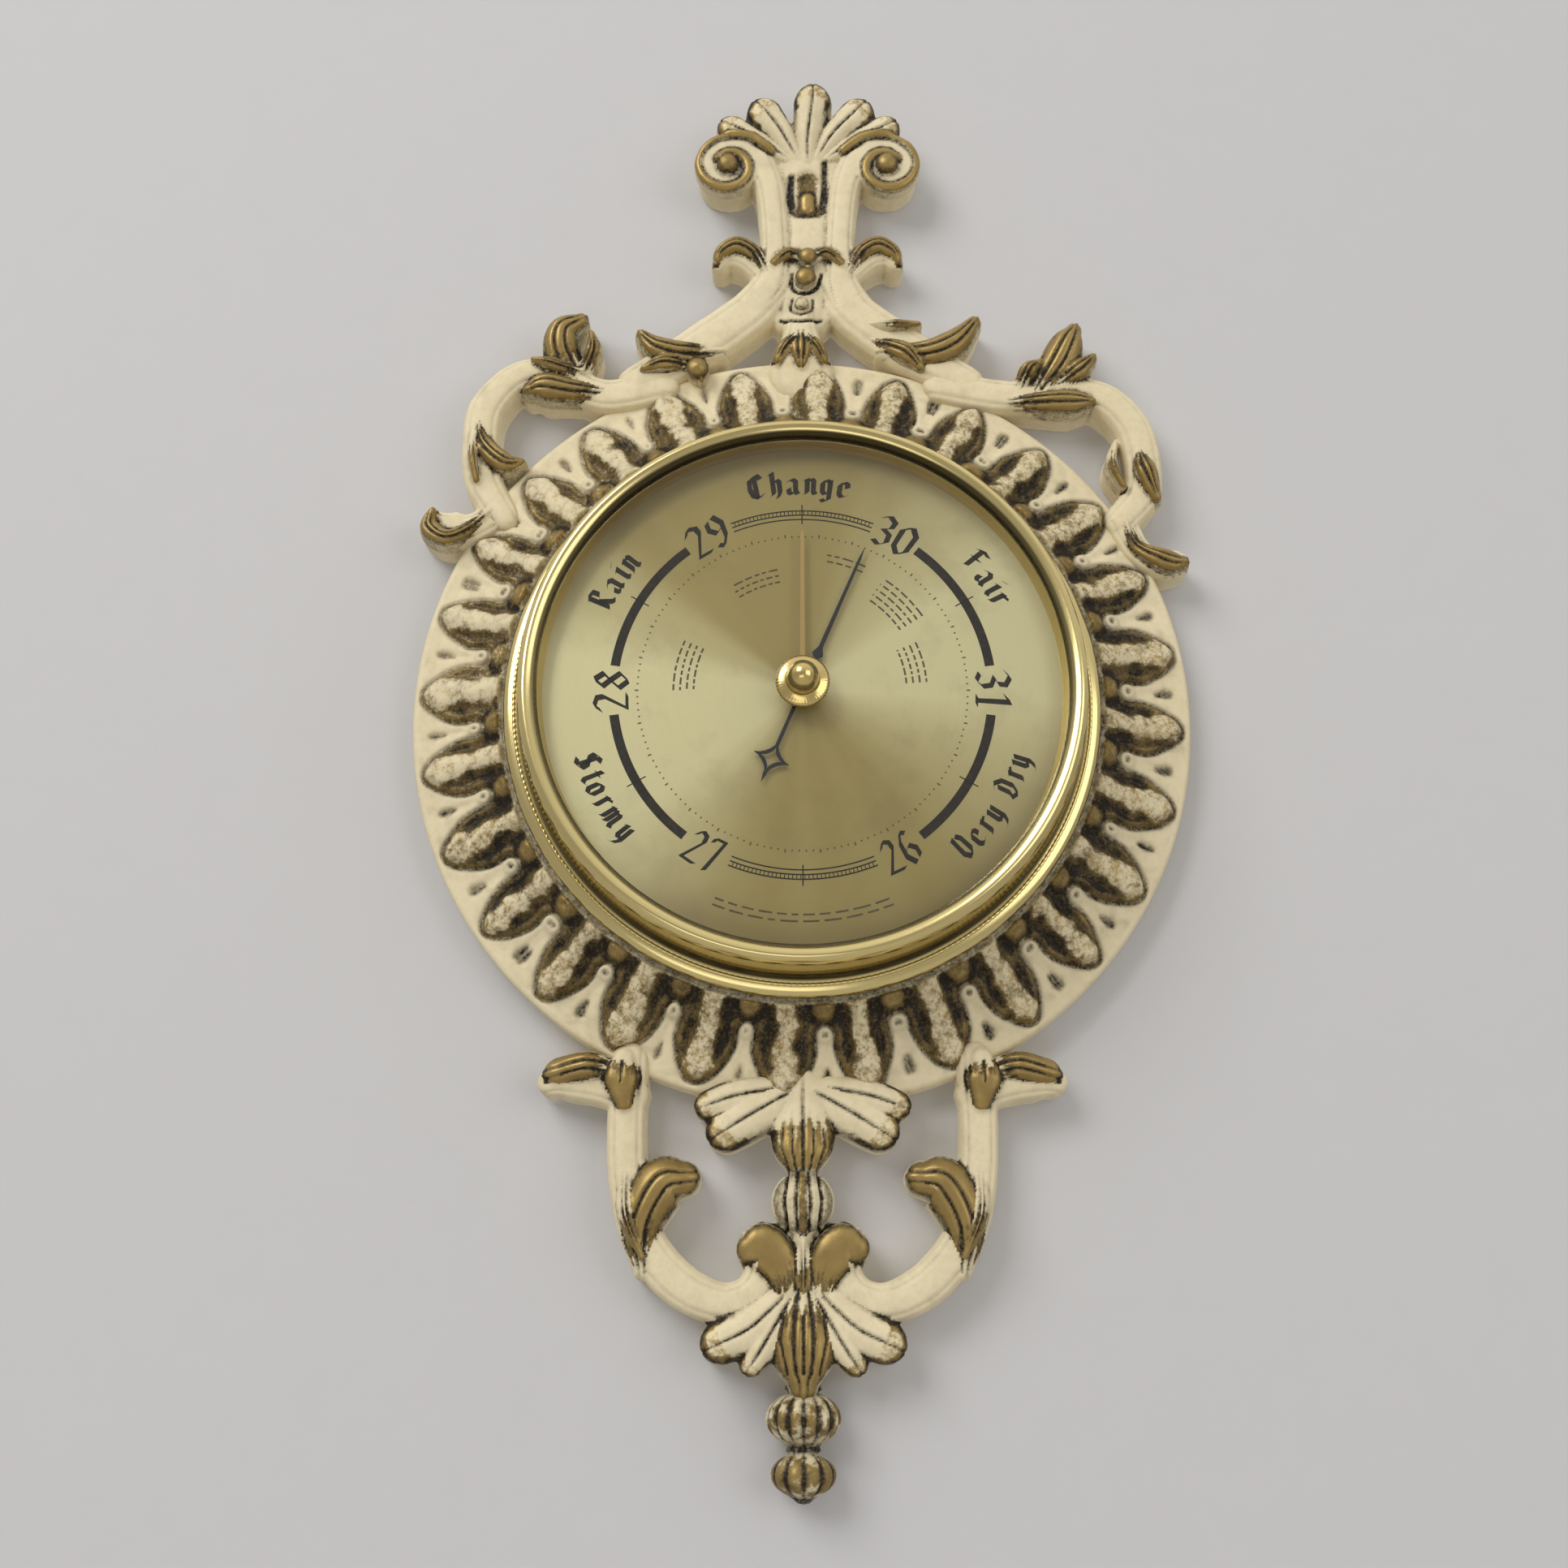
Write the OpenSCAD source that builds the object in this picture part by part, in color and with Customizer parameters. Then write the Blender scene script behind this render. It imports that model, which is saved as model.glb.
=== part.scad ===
// Wall barometer: cast scrollwork frame, brass bezel and dial, aneroid movement.
// Drawn lying on its back: x to the right, y up the wall, z out of the wall.
// on_wall() stands it up, with the keyhole of the hanger plate at the origin.

/* [Frame] */
// Radius of the round body of the frame
disc_r = 90; // [87:1:93]
// Thickness of the plain margin round the wreath
margin_t = 7; // [6:0.5:8]
// Height of the scrolls above the wall
scroll_t = 10; // [9:0.5:11]
// Extra height of the raised leaves on the scrolls
leaf_rise = 2.5; // [1.5:0.5:3.5]
// Height of the ring that the case sits on
seat_t = 16; // [15:0.5:17]
// Number of leaves in the wreath
wreath_n = 28; // [22:1:32]
// Width of one wreath leaf
wreath_w = 12; // [10:0.5:13]
// Height of a wreath leaf above its ground
wreath_rise = 2.4; // [1.5:0.1:3]

/* [Hanger] */
// Height of the keyhole above the edge of the round body
hang_up = 26; // [24:1:30]
// Radius of the keyhole's round end
keyhole_r = 4; // [3.5:0.25:4.5]
// Width of the keyhole's slot
keyhole_slot = 4; // [3:0.25:4]
// Thickness of the hanger plate
hanger_t = 1.2; // [1:0.1:1.6]
// Width of the hanger plate
hanger_w = 15; // [14:0.5:16]
// Length of the hanger plate
hanger_l = 30; // [28:1:34]
// Depth of the pocket for the wall screw's head
pocket_d = 4.5; // [4.2:0.1:5]

/* [Case and bezel] */
// Outer radius of the round case
case_r = 61.5; // [60:0.5:63]
// Thickness of the case's sheet metal
sheet_t = 0.8; // [0.6:0.1:1]
// Width of the case's flange
flange_w = 4.5; // [4:0.25:5]
// Recess of the case's back from the wall
case_recess = 1.5; // [1:0.25:2]
// Width of the bezel's skirt outside the case's flange
skirt_w = 1.6; // [1.4:0.1:2]
// Wall thickness of the bezel
bezel_t = 1.3; // [1:0.1:1.5]
// Height of the bezel's rim over the glass
rim_h = 2.4; // [2:0.1:3]
// Width of the rim that holds the glass
lip_w = 2; // [1.5:0.1:2.5]
// Thickness of the glass
glass_t = 2; // [1.8:0.1:2.5]
// Height of the sight ring between dial and glass
sight_h = 3.6; // [3.4:0.1:4.5]
// Thickness of the dial
dial_t = 0.6; // [0.5:0.1:1]

/* [Hands and knob] */
// Length of the pointer from its pivot
pointer_l = 36.5; // [33:0.5:40]
// Length of the pointer's tail
tail_l = 23.4; // [21:0.2:26]
// Half width of the star on the pointer's tail
star_r = 4.2; // [3:0.1:5]
// Length of the set hand
set_hand_l = 37.5; // [33:0.5:42]
// Thickness of both hands
hand_t = 0.4; // [0.3:0.05:0.6]
// Radius of the knob's flange
knob_r = 6; // [5:0.25:7]
// Height of the knob above its flange
knob_h = 8; // [6:0.5:9]
// Radius of the knob's spindle
spindle_r = 1.5; // [1.25:0.05:1.75]
// Reading of the pointer, clockwise from straight up
reading_a = 23; // [-90:1:90]

/* [Movement] */
// Radius of the base plate
base_r = 42; // [42:1:46]
// Thickness of the base plate
plate_t = 1.4; // [1.2:0.1:1.6]
// Thickness of the two train plates
train_t = 1.2; // [1:0.1:1.4]
// Height of the gear space between the train plates
gear_gap = 5; // [4.8:0.1:5.6]
// Radius of the aneroid capsule
capsule_r = 19; // [17:0.5:20]
// Thickness of the aneroid capsule
capsule_t = 5.4; // [5:0.1:6]
// Thickness of the main lever
lever_t = 1.2; // [1:0.1:1.4]
// Distance of the lever's pivot from the centre
lever_back = 25; // [24:0.5:27]
// Distance of the rocker shaft from the centre
rocker_x = 29; // [28:0.25:30]
// Length of the rocker's link arm
link_arm = 6; // [5:0.25:6.5]
// Length of the sector's tail
tail_arm = 6; // [5:0.25:6.5]
// Radius of the rocker shaft
rocker_r = 1; // [0.8:0.05:1.2]
// Gear module of the sector and pinion
gear_m = 0.4; // [0.39:0.005:0.42]
// Number of teeth on the pinion
pinion_n = 12; // [12:1:13]
// Number of teeth that a whole sector wheel would have
wheel_n = 144; // [140:1:148]
// Radius of the pointer's arbor
arbor_r = 0.8; // [0.7:0.05:0.9]
// Number of turns in the hairspring
hairspring_n = 4; // [3:1:5]

/* [Hidden] */
$fn = 64;
running = 0.05;
loose = 0.15;
cut = 1;

// Height of the keyhole above the dial's centre
hang_y = disc_r + hang_up;

// Heights above the wall, from the back of the case to the knob
pan_top = case_recess + sheet_t;
foot_h = 0.7;
base_z = pan_top + foot_h;
base_top = base_z + plate_t;
mount_gap = 0.6;
mount_t = 1;
mount_z = base_top + mount_gap;
capsule_z = mount_z + mount_t;
capsule_top = capsule_z + capsule_t;
collar_h = 1;
lever_z = capsule_top + collar_h;
lever_top = lever_z + lever_t;
lever_mid = lever_z + lever_t / 2;
post_over = 1.2;
post_top = lever_top + post_over;
train_z = post_top + 0.8;
train_top = train_z + train_t;
sector_t = 1.2;
sector_z = train_top + 1.2;
pivot_r = 0.8;
pivot_half = 6.2;
cock_z = train_top + gear_gap;
cock_top = cock_z + train_t;
dial_z = cock_top + 1.4;
dial_top = dial_z + dial_t;
glass_z = dial_top + sight_h;
glass_top = glass_z + glass_t;
bezel_top = glass_top + rim_h;
washer_t = 0.3;
hub_h = 1.2;
pointer_z = dial_top + 1;
hand_collet_h = 0.9;
hand_z = glass_z - washer_t - hand_collet_h;

// Radii of the seat, the bezel and the glass
seat_r = case_r + 0.5;
flange_r = case_r + flange_w;
skirt_r = flange_r + skirt_w;
bezel_in = case_r + running;
glass_r = case_r - 1.1;
open_r = glass_r - lip_w;
wreath_in = skirt_r + 0.6;
wreath_out = disc_r - 2;

// Screw sizes
case_screw_r = 1.5;
case_screw_at = case_r + flange_w / 2;
small_r = 1.2;
head_r = 2.1;
head_h = 1.2;

// Movement layout
base_screw_at = [for (a = [80, 200, 320]) 38 * [cos(a), sin(a)]];
pillar_at = [[-16, 20], [-16, -20], [20, -23], [20, 27]];
mount_screw_at = [[-5, -28], [5, -28]];
bracket_screw_at = [[-lever_back - 5.5, 3], [-lever_back - 5.5, -3]];
rocker_screw_at = [[rocker_x + 5, -4], [rocker_x + 5, 12]];
adjuster_at = [0, 13];
adjuster_r = 1.6;
pillar_r = 2.4;
spacer_r = 1.8;
lever_tip = rocker_x - link_arm;
rocker_z = base_top + 3.7;
rocker_lo = -8;
link_pin_r = 0.6;
link_pin_l = 1.7;
drive_pin_r = 0.6;

// Gears
pinion_r = gear_m * pinion_n / 2;
wheel_r = gear_m * wheel_n / 2;
centre_d = pinion_r + wheel_r;
sector_at = [rocker_x, sqrt(centre_d * centre_d - rocker_x * rocker_x)];
mesh_a = atan2(sector_at[1], sector_at[0]);
wheel_pitch_a = 360 / wheel_n;
backlash = 0.05;
wheel_add = 0.26 / 0.4 * gear_m;
drive_y = sector_at[1] + tail_arm;
rocker_hi = drive_y + 4.5;

// Stands the lying drawing up on the wall, with the keyhole at the origin
module on_wall() {
    translate([0, 0, -hang_y]) rotate([90, 0, 0]) children();
}

module at(p, z = 0) {
    translate([p[0], p[1], z]) children();
}

module mirrored() {
    children();
    mirror([1, 0, 0]) children();
}

// Smooth curve through points of any length, sampled n times a span
function span_at(a, b, c, d, t) =
    0.5 * (2 * b + (c - a) * t + (2 * a - 5 * b + 4 * c - d) * t * t
           + (3 * b - a - 3 * c + d) * t * t * t);
function smooth(p, n = 5) =
    [for (i = [0 : len(p) - 2], k = [0 : n - 1])
        span_at(p[max(i - 1, 0)], p[i], p[i + 1], p[min(i + 2, len(p) - 1)], k / n),
     p[len(p) - 1]];
function side_of(c, i) =
    let (d = c[min(i + 1, len(c) - 1)] - c[max(i - 1, 0)],
         l = norm([d[0], d[1]]))
    [-d[1], d[0]] / l;

// Outline of a ribbon whose points are x, y and width
function ribbon(p, n = 5) =
    let (c = smooth(p, n), m = len(c) - 1)
    concat([for (i = [0 : m]) [c[i][0], c[i][1]] + side_of(c, i) * c[i][2] / 2],
           [for (i = [m : -1 : 0]) [c[i][0], c[i][1]] - side_of(c, i) * c[i][2] / 2]);
function narrowed(p, f) = [for (q = p) [q[0], q[1], q[2] * f]];

module outlines(list, width = 1) {
    for (p = list) polygon(ribbon(narrowed(p, width), 3));
}

// A slab of a flat drawing between two heights
module slab(lo, hi) {
    translate([0, 0, lo]) linear_extrude(hi - lo) children();
}

// A button with a bevelled top
module bead(p, r, h = scroll_t + leaf_rise) {
    at(p) cylinder(r = r, h = h - 0.6 * r);
    at(p, h - 0.6 * r) cylinder(r1 = r, r2 = 0.45 * r, h = 0.6 * r);
}

// Spiral centre line from radius a to radius b, as ribbon points
function spiral(c, a, b, from, to, w, n = 16) =
    [for (i = [0 : n])
        let (t = i / n, r = a + (b - a) * t, g = from + (to - from) * t)
        [c[0] + r * cos(g), c[1] + r * sin(g), w * (1 - 0.35 * t)]];

// Crest above the disc: right half and centre, with its own zero at the disc's top edge
shell_root = [0, 55, 4];
shell_top = [0, 71, 9.2];
shell_tips = [[10, 67.5, 9.6], [17.5, 62.5, 8.8]];
shell_flutes = [for (t = shell_tips) [shell_root, (shell_root + t) / 2, t]];
volute_at = [20, 52];
volute_r = 9.2;
neck_half = [[-1, 66], [14, 62], [14, 50], [10.8, 40], [10, 30], [11.5, 20], [16, 12], [8, 6], [4, 8], [-1, 9]];
neck_panel = [[-1, 52], [9, 46], [6.5, 36], [6, 28], [8, 18], [-1, 22]];
crest_scrolls = [
    [[6, 56, 3], [11, 60, 5], [17, 61, 4.5], [23, 59.5, 4]],
    [[4, 22, 9], [9, 13, 12], [17, 5, 11], [28, -2, 11], [38, -7, 9]]];
crest_middle = [
    [shell_root, (shell_root + shell_top) / 2, shell_top],
    [[0, 12, 5], [0, 5, 11], [0, -4, 15]]];
crest_leaves = [
    [[9, 22, 3], [12, 29, 4.5], [17, 32, 5], [22, 29.5, 5], [24, 26, 2]],
    [[-1, 25, 3], [3.5, 27, 4], [7, 26, 2]]];
crest_middle_leaves = [
    [[0, 37.5, 6], [0, 43, 8], [0, 50, 3]],
    [[0, 10, 3], [0, 4, 10], [0, -1, 3]]];

module crest_solids() {
    mirrored() {
        for (t = shell_tips)
            bead([t[0], t[1]], t[2] / 2 + 0.35, scroll_t + 1);
        at(volute_at) cylinder(r = volute_r - 0.8, h = scroll_t - 1);
        slab(scroll_t - 2.15, scroll_t + 1.5)
            polygon(ribbon(spiral(volute_at, volute_r - 1.2, 3.4, 175, -330, 2.6, 28), 1));
        bead(volute_at, 2.6, scroll_t + 2.5);
    }
    bead([shell_top[0], shell_top[1]], shell_top[2] / 2 + 0.35, scroll_t + 1);
    bead([0, 20], 2.6);
    bead([0, 13], 2);
}

// Shoulders of the disc, each with its own zero at the disc's edge
shoulder_a = 42;
left_scrolls = [
    [[33, 23, 9], [20, 20.5, 9], [10, 24.5, 8], [4, 27, 7], [-3, 24.5, 8], [-9, 17, 9],
     [-10, 8, 9], [-9, -2, 9], [-4, -11, 8]],
    [[-5, -10, 8], [-11, -14, 8], [-17, -14.5, 10], [-22, -13, 7]]];
left_leaves = [
    [[47, 32, 5], [39, 31, 7], [32, 32.5, 6.5], [27.5, 36.5, 1.2]],
    [[41, 28, 3], [34, 28, 5], [29, 26.5, 2.5]],
    [[39, 29, 2], [42, 26.5, 5], [43, 23.5, 2]],
    [[13, 25, 5], [9, 31, 9], [9, 37, 8.5], [14, 40.5, 2.5]],
    [[14, 26, 4], [16.5, 31, 4.5], [16, 36, 2]],
    [[15, 26, 3], [7, 27.5, 4], [2, 29, 1.2]],
    [[19, 21, 4], [12, 21, 6.5], [5, 22, 8], [1, 21, 3]],
    [[-11, 14, 1.5], [-9, 7, 5], [-4, 2, 6], [0.5, 2, 2]],
    [[-11.5, 12, 2.5], [-11.5, 4, 2.5], [-10.5, -2.5, 2]],
    [[-7, -10, 3], [-12, -15, 4], [-17, -17.5, 5], [-21.5, -14.5, 5.5], [-21, -10.5, 2.5]]];
right_scrolls = [
    [[-33, 23, 9], [-20, 20.5, 9], [-10, 20, 8], [-1, 21.5, 8], [7, 19, 8.5], [13, 12, 9],
     [15, 2, 9], [14, -6, 9], [9, -12, 8]],
    [[9, -12, 8], [13, -20, 7], [20, -23, 8], [24, -23, 7]]];
right_leaves = [
    [[-47, 32, 5], [-37, 31, 7.5], [-30, 33.5, 8], [-24, 40, 1.5]],
    [[-51, 39, 2], [-45, 38, 3.5], [-38.5, 38.5, 2.5]],
    [[-50, 35, 2], [-42, 31, 6], [-38, 27, 3]],
    [[-10, 21, 4], [-5, 28, 9], [-2, 34, 8.5], [0, 38, 2.5]],
    [[-14, 22, 3], [-12, 26, 5], [-9, 28.5, 2]],
    [[-5, 23, 3], [0, 26, 6], [4, 30, 2]],
    [[-17, 18, 4], [-9, 18, 6], [-2, 18, 7], [3, 18, 3]],
    [[13.5, 6, 1.5], [15, 0, 6], [17.5, -7, 3]],
    [[8.5, 8, 1.2], [7, 1, 3], [9.5, -4, 2.5]],
    [[10, -13, 3], [12, -19, 4], [17, -22.5, 6], [22, -23.5, 6.5], [25, -23.5, 4]]];

// Pendant below the disc: right half, with its own zero at the disc's bottom edge
pendant_scrolls = [
    [[38, 10, 9], [38.5, -6, 8.8], [37.3, -18, 9], [34, -29, 9.3], [27, -37.5, 9.5],
     [17.5, -42, 8], [9, -39.5, 7], [4.5, -33, 6]],
    [[38, 3, 9], [45, 5, 9], [52, 6, 9], [56, 5.5, 5]]];
pendant_leaves = [
    [[41, 8, 5], [47, 8.5, 6], [54.5, 7.5, 4.5]],
    [[34, -31, 5], [33, -22, 8.5], [29.5, -15.5, 9], [25, -14.5, 3.5]],
    [[38, -16, 2.5], [37.5, -24, 3.5], [34, -32, 2]],
    [[4, 2, 6], [9, -4, 7.5], [13.5, -7.5, 5.5], [15.5, -9.5, 2]],
    [[6, 2, 6], [14, -1, 7], [19.5, -2, 3]],
    [[3, -38, 5], [9, -46, 7.5], [15, -50, 6.5], [19.5, -49.5, 2.5]],
    [[2, -40, 4], [5, -48, 5], [7, -53, 2.5]]];
pendant_middle_leaves = [
    [[0, 2, 7], [0, -5, 10], [0, -11, 8], [0, -15, 2]],
    [[0, -34, 5], [0, -46, 9], [0, -52, 9], [0, -57, 3]]];

module pendant_solids() {
    mirrored() {
        at([7, -30]) cylinder(r = 6.3, h = scroll_t + 1);
        bead([39, 5.5], 4.4);
    }
    intersection() {
        at([0, -20.5], 6.5) sphere(6.8);
        translate([-10, -30.5, 0]) cube([20, 20, 20]);
    }
    finial();
}

module on_shoulder(side) {
    translate([side * disc_r * cos(shoulder_a), disc_r * sin(shoulder_a), 0]) children();
}

// Every scroll of the frame, and every leaf, as flat drawings
module scroll_drawing(width = 1) {
    translate([0, disc_r]) {
        outlines(crest_middle, width);
        mirrored() {
            outlines(crest_scrolls, width);
            outlines(shell_flutes, width);
            polygon(width == 1 ? neck_half : neck_panel);
        }
    }
    on_shoulder(-1) outlines(left_scrolls, width);
    on_shoulder(1) outlines(right_scrolls, width);
    translate([0, -disc_r]) mirrored() outlines(pendant_scrolls, width);
}

module leaf_drawing(width = 1) {
    translate([0, disc_r]) {
        outlines(crest_middle_leaves, width);
        mirrored() outlines(crest_leaves, width);
    }
    on_shoulder(-1) outlines(left_leaves, width);
    on_shoulder(1) outlines(right_leaves, width);
    translate([0, -disc_r]) {
        outlines(pendant_middle_leaves, width);
        mirrored() outlines(pendant_leaves, width);
    }
}

// Neck, ribbed ball and bud at the foot, turned about the upright axis
function bulge(y, r, h, from, to) =
    [for (a = [from : (to - from) / 8 : to]) [r * cos(a), y + h * sin(a)]];
finial_shape = concat(
    [[0, -54], [3.6, -54], [2.8, -57], [3.8, -58.3], [3.2, -59.6]],
    bulge(-65, 8, 5.6, 65, -65), bulge(-76, 7, 4.6, 60, -60), [[1.5, -82], [0, -82]]);
module finial() {
    intersection() {
        translate([0, 0, scroll_t / 2])
            rotate([-90, 0, 0]) rotate_extrude()
                polygon(finial_shape);
        translate([-20, -100, 0]) cube([40, 60, 40]);
    }
}

// Ground of the wreath, from the case's seat out to the plain margin
module wreath_ground() {
    rotate_extrude($fn = 120) polygon([
        [seat_r, 0], [seat_r, seat_t], [wreath_in, seat_t], [wreath_in + 2, seat_t - 3],
        [wreath_out - 6, margin_t + 0.5], [wreath_out - 3, margin_t], [wreath_out - 3, 0]]);
}

// Solid under a cone that falls from the wreath's inner edge, raised by some height
module under_cone(rise) {
    rotate_extrude($fn = 120) polygon([
        [seat_r - cut, 1], [seat_r - cut, seat_t - 0.5], [wreath_in, seat_t - 1.5 + rise / 3],
        [wreath_in + 2, seat_t - 3 + rise], [wreath_out - 6, margin_t + 0.5 + rise],
        [wreath_out + 0.5, margin_t + 0.3 + rise / 3], [wreath_out + 0.5, 1]]);
}

module wreath_drawing(channel) {
    l = wreath_out - wreath_in;
    step = 360 / wreath_n;
    for (k = [0 : wreath_n - 1])
        rotate(-93 + k * step) translate([wreath_in, 0])
            if (channel)
                polygon([[0.5, 1.8], [l * 0.6, 2.4], [l * 0.92, 0], [l * 0.6, -2.4], [0.5, -1.8]]);
            else
                polygon(ribbon([[-1.2, 0, wreath_w * 0.65], [l * 0.35, 0, wreath_w],
                                [l * 0.75, 0, wreath_w * 0.78], [l, 0, 0.6]], 3));
}

module wreath() {
    step = 360 / wreath_n;
    intersection() {
        slab(2, seat_t + 2) difference() {
            wreath_drawing(false);
            wreath_drawing(true);
        }
        under_cone(wreath_rise);
    }
    for (k = [0 : wreath_n - 1])
        rotate([0, 0, -93 + (k + 0.5) * step])
            at([wreath_in + 8, 0]) cylinder(r = 1.8, h = seat_t - 3.2);
}

keyhole_up = 9;
module keyhole(grow = 0, h = hanger_t) {
    cylinder(r = keyhole_r + grow, h = h);
    at([0, keyhole_up]) cylinder(r = keyhole_slot / 2 + grow, h = h);
    translate([-keyhole_slot / 2 - grow, 0, 0]) cube([keyhole_slot + 2 * grow, keyhole_up, h]);
}
hanger_mid = 3;
hanger_screw_at = [for (s = [-1, 1]) [0, hang_y + hanger_mid + s * (hanger_l / 2 - 2.8)]];
module hanger_blank(grow, h) {
    translate([-hanger_w / 2 - grow, hanger_mid - hanger_l / 2 - grow, 0])
        cube([hanger_w + 2 * grow, hanger_l + 2 * grow, h]);
}

module frame() {
    color("ivory") on_wall() difference() {
        union() {
            cylinder(r = disc_r, h = margin_t, $fn = 180);
            wreath_ground();
            wreath();
            slab(0, scroll_t - 1.45) scroll_drawing();
            slab(scroll_t - 2.35, scroll_t) scroll_drawing(0.62);
            slab(0, scroll_t + leaf_rise - 1.2) leaf_drawing();
            slab(scroll_t + leaf_rise - 1.85, scroll_t + leaf_rise) leaf_drawing(0.45);
            translate([0, disc_r, 0]) crest_solids();
            translate([0, -disc_r, 0]) pendant_solids();
        }
        translate([0, 0, -cut]) cylinder(r = seat_r, h = seat_t + 2 * cut, $fn = 180);
        at([0, hang_y], -cut) hanger_blank(0.2, hanger_t + cut);
        at([0, hang_y], -cut) keyhole(1.2, hanger_t + pocket_d + cut);
        for (p = hanger_screw_at) at(p, -cut) cylinder(r = small_r, h = hanger_t + 6 + cut);
        for (a = [90, 210, 330]) rotate([0, 0, a])
            at([case_screw_at, 0], seat_t - 8) cylinder(r = case_screw_r, h = 8 + cut);
    }
}

module hanger_plate() {
    color("silver") on_wall() at([0, hang_y]) difference() {
        hanger_blank(0, hanger_t);
        at([0, 0], -cut) keyhole(0, hanger_t + 2 * cut);
        for (p = hanger_screw_at)
            at(p - [0, hang_y], -cut) cylinder(r = small_r + loose, h = hanger_t + 2 * cut);
        for (p = hanger_screw_at)
            at(p - [0, hang_y], -0.01) cylinder(r1 = head_r, r2 = small_r, h = 0.9);
    }
}

// Countersunk wood screws, flush with the wall side of the plate
module hanger_screws() {
    color("silver") on_wall() for (p = hanger_screw_at) at(p) difference() {
        union() {
            cylinder(r1 = head_r - running, r2 = small_r - running, h = 0.9);
            cylinder(r = small_r - running, h = hanger_t + 5.5);
        }
        translate([-head_r, -0.3, -cut]) cube([2 * head_r, 0.6, cut + 0.5]);
    }
}

// Screw with a slotted round head that sits on the height z
module slotted_screw(z, r, head, up, down) {
    difference() {
        translate([0, 0, z - down]) union() {
            cylinder(r = r, h = down + up / 2);
            translate([0, 0, down]) cylinder(r = head, h = up);
        }
        translate([-head - cut, -0.25, z + up / 2]) cube([2 * (head + cut), 0.5, up]);
    }
}

module case_pan() {
    color("tan") on_wall() difference() {
        union() {
            rotate_extrude($fn = 180) polygon([
                [0, case_recess], [case_r, case_recess], [case_r, seat_t], [flange_r, seat_t],
                [flange_r, seat_t + sheet_t], [case_r, seat_t + sheet_t], [case_r, dial_z],
                [case_r - sheet_t, dial_z], [case_r - sheet_t, pan_top], [0, pan_top]]);
            for (p = base_screw_at) at(p, case_recess) cylinder(r = 4, h = base_z - case_recess);
        }
        translate([0, 0, -cut]) cylinder(r = 7, h = 10);
        at(adjuster_at, -cut) cylinder(r = 2.6, h = 10);
        for (p = base_screw_at) at(p, -cut) cylinder(r = small_r, h = base_z + 2 * cut);
        for (a = [90, 210, 330]) rotate([0, 0, a])
            at([case_screw_at, 0], seat_t - cut) cylinder(r = case_screw_r + loose, h = 3);
    }
}

module case_screws() {
    color("gold") on_wall() for (a = [90, 210, 330]) rotate([0, 0, a])
        at([case_screw_at, 0]) slotted_screw(seat_t + sheet_t, case_screw_r, flange_w / 2 - 0.45, 0.9, 8);
}

// Section of the bezel, from the skirt up the wall to the rolled rim
bezel_out = bezel_in + bezel_t;
function bezel_section() = concat(
    [[skirt_r, seat_t], [skirt_r, seat_t + 1.2], [skirt_r - 0.4, seat_t + 2],
     [skirt_r - 1.4, seat_t + 2.8], [skirt_r - 2.6, seat_t + 3.4], [bezel_out + 0.5, seat_t + 5],
     [bezel_out, seat_t + 7], [bezel_out, bezel_top - 3.2]],
    [for (a = [15 : 15 : 90])
        [bezel_out - 2 + 2 * cos(a), bezel_top - 3.2 + 3.2 * sin(a)]],
    [[open_r + 1.2, bezel_top - 0.7], [open_r, glass_top + 0.4], [open_r, glass_top],
     [glass_r + running, glass_top], [glass_r + running, glass_z - loose],
     [bezel_in, glass_z - loose], [bezel_in, seat_t + sheet_t + 1.6],
     [flange_r - 0.3, seat_t + sheet_t + 1.3], [flange_r + running, seat_t + sheet_t + 0.6],
     [flange_r + running, seat_t]]);

module bezel() {
    color("gold") on_wall() rotate_extrude($fn = 180) polygon(bezel_section());
}

module sight_ring() {
    color("gold") on_wall() rotate_extrude($fn = 180) polygon([
        [open_r - 0.6, dial_top], [case_r - loose, dial_top], [case_r - loose, dial_top + 1],
        [glass_r - 0.6, dial_top + 1], [glass_r - 0.6, glass_z], [open_r + 0.4, glass_z]]);
}

module glass() {
    color("lightblue", 0.4) on_wall() difference() {
        translate([0, 0, glass_z]) cylinder(r = glass_r, h = glass_t, $fn = 180);
        translate([0, 0, glass_z - cut]) cylinder(r = spindle_r + 0.1, h = glass_t + 2 * cut);
    }
}

module washer(z, r) {
    translate([0, 0, z]) difference() {
        cylinder(r = r, h = washer_t);
        translate([0, 0, -cut]) cylinder(r = spindle_r + running, h = washer_t + 2 * cut);
    }
}

module knob_washer() {
    color("saddlebrown") on_wall() washer(glass_top, knob_r - 1.4);
}

module set_hand_washer() {
    color("saddlebrown") on_wall() washer(glass_z - washer_t, spindle_r + 1.6);
}

// Turned knob with a milled skirt and a pointed dome, in one piece with its spindle
module set_knob() {
    foot = glass_top + washer_t;
    neck = knob_r * 0.62;
    end = hand_z;
    color("gold") on_wall() {
        rotate_extrude() polygon(concat(
            [[0, end], [spindle_r, end], [spindle_r, foot], [knob_r, foot],
             [knob_r, foot + 0.8], [knob_r - 0.5, foot + 1.4], [neck, foot + 1.8],
             [neck, foot + 2.6]],
            [for (t = [0.1 : 0.1 : 1])
                [neck * cos(90 * t) * (1 - 0.1 * t), foot + 2.6 + (knob_h - 2.6) * sin(90 * t)]]));
    }
}

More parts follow.
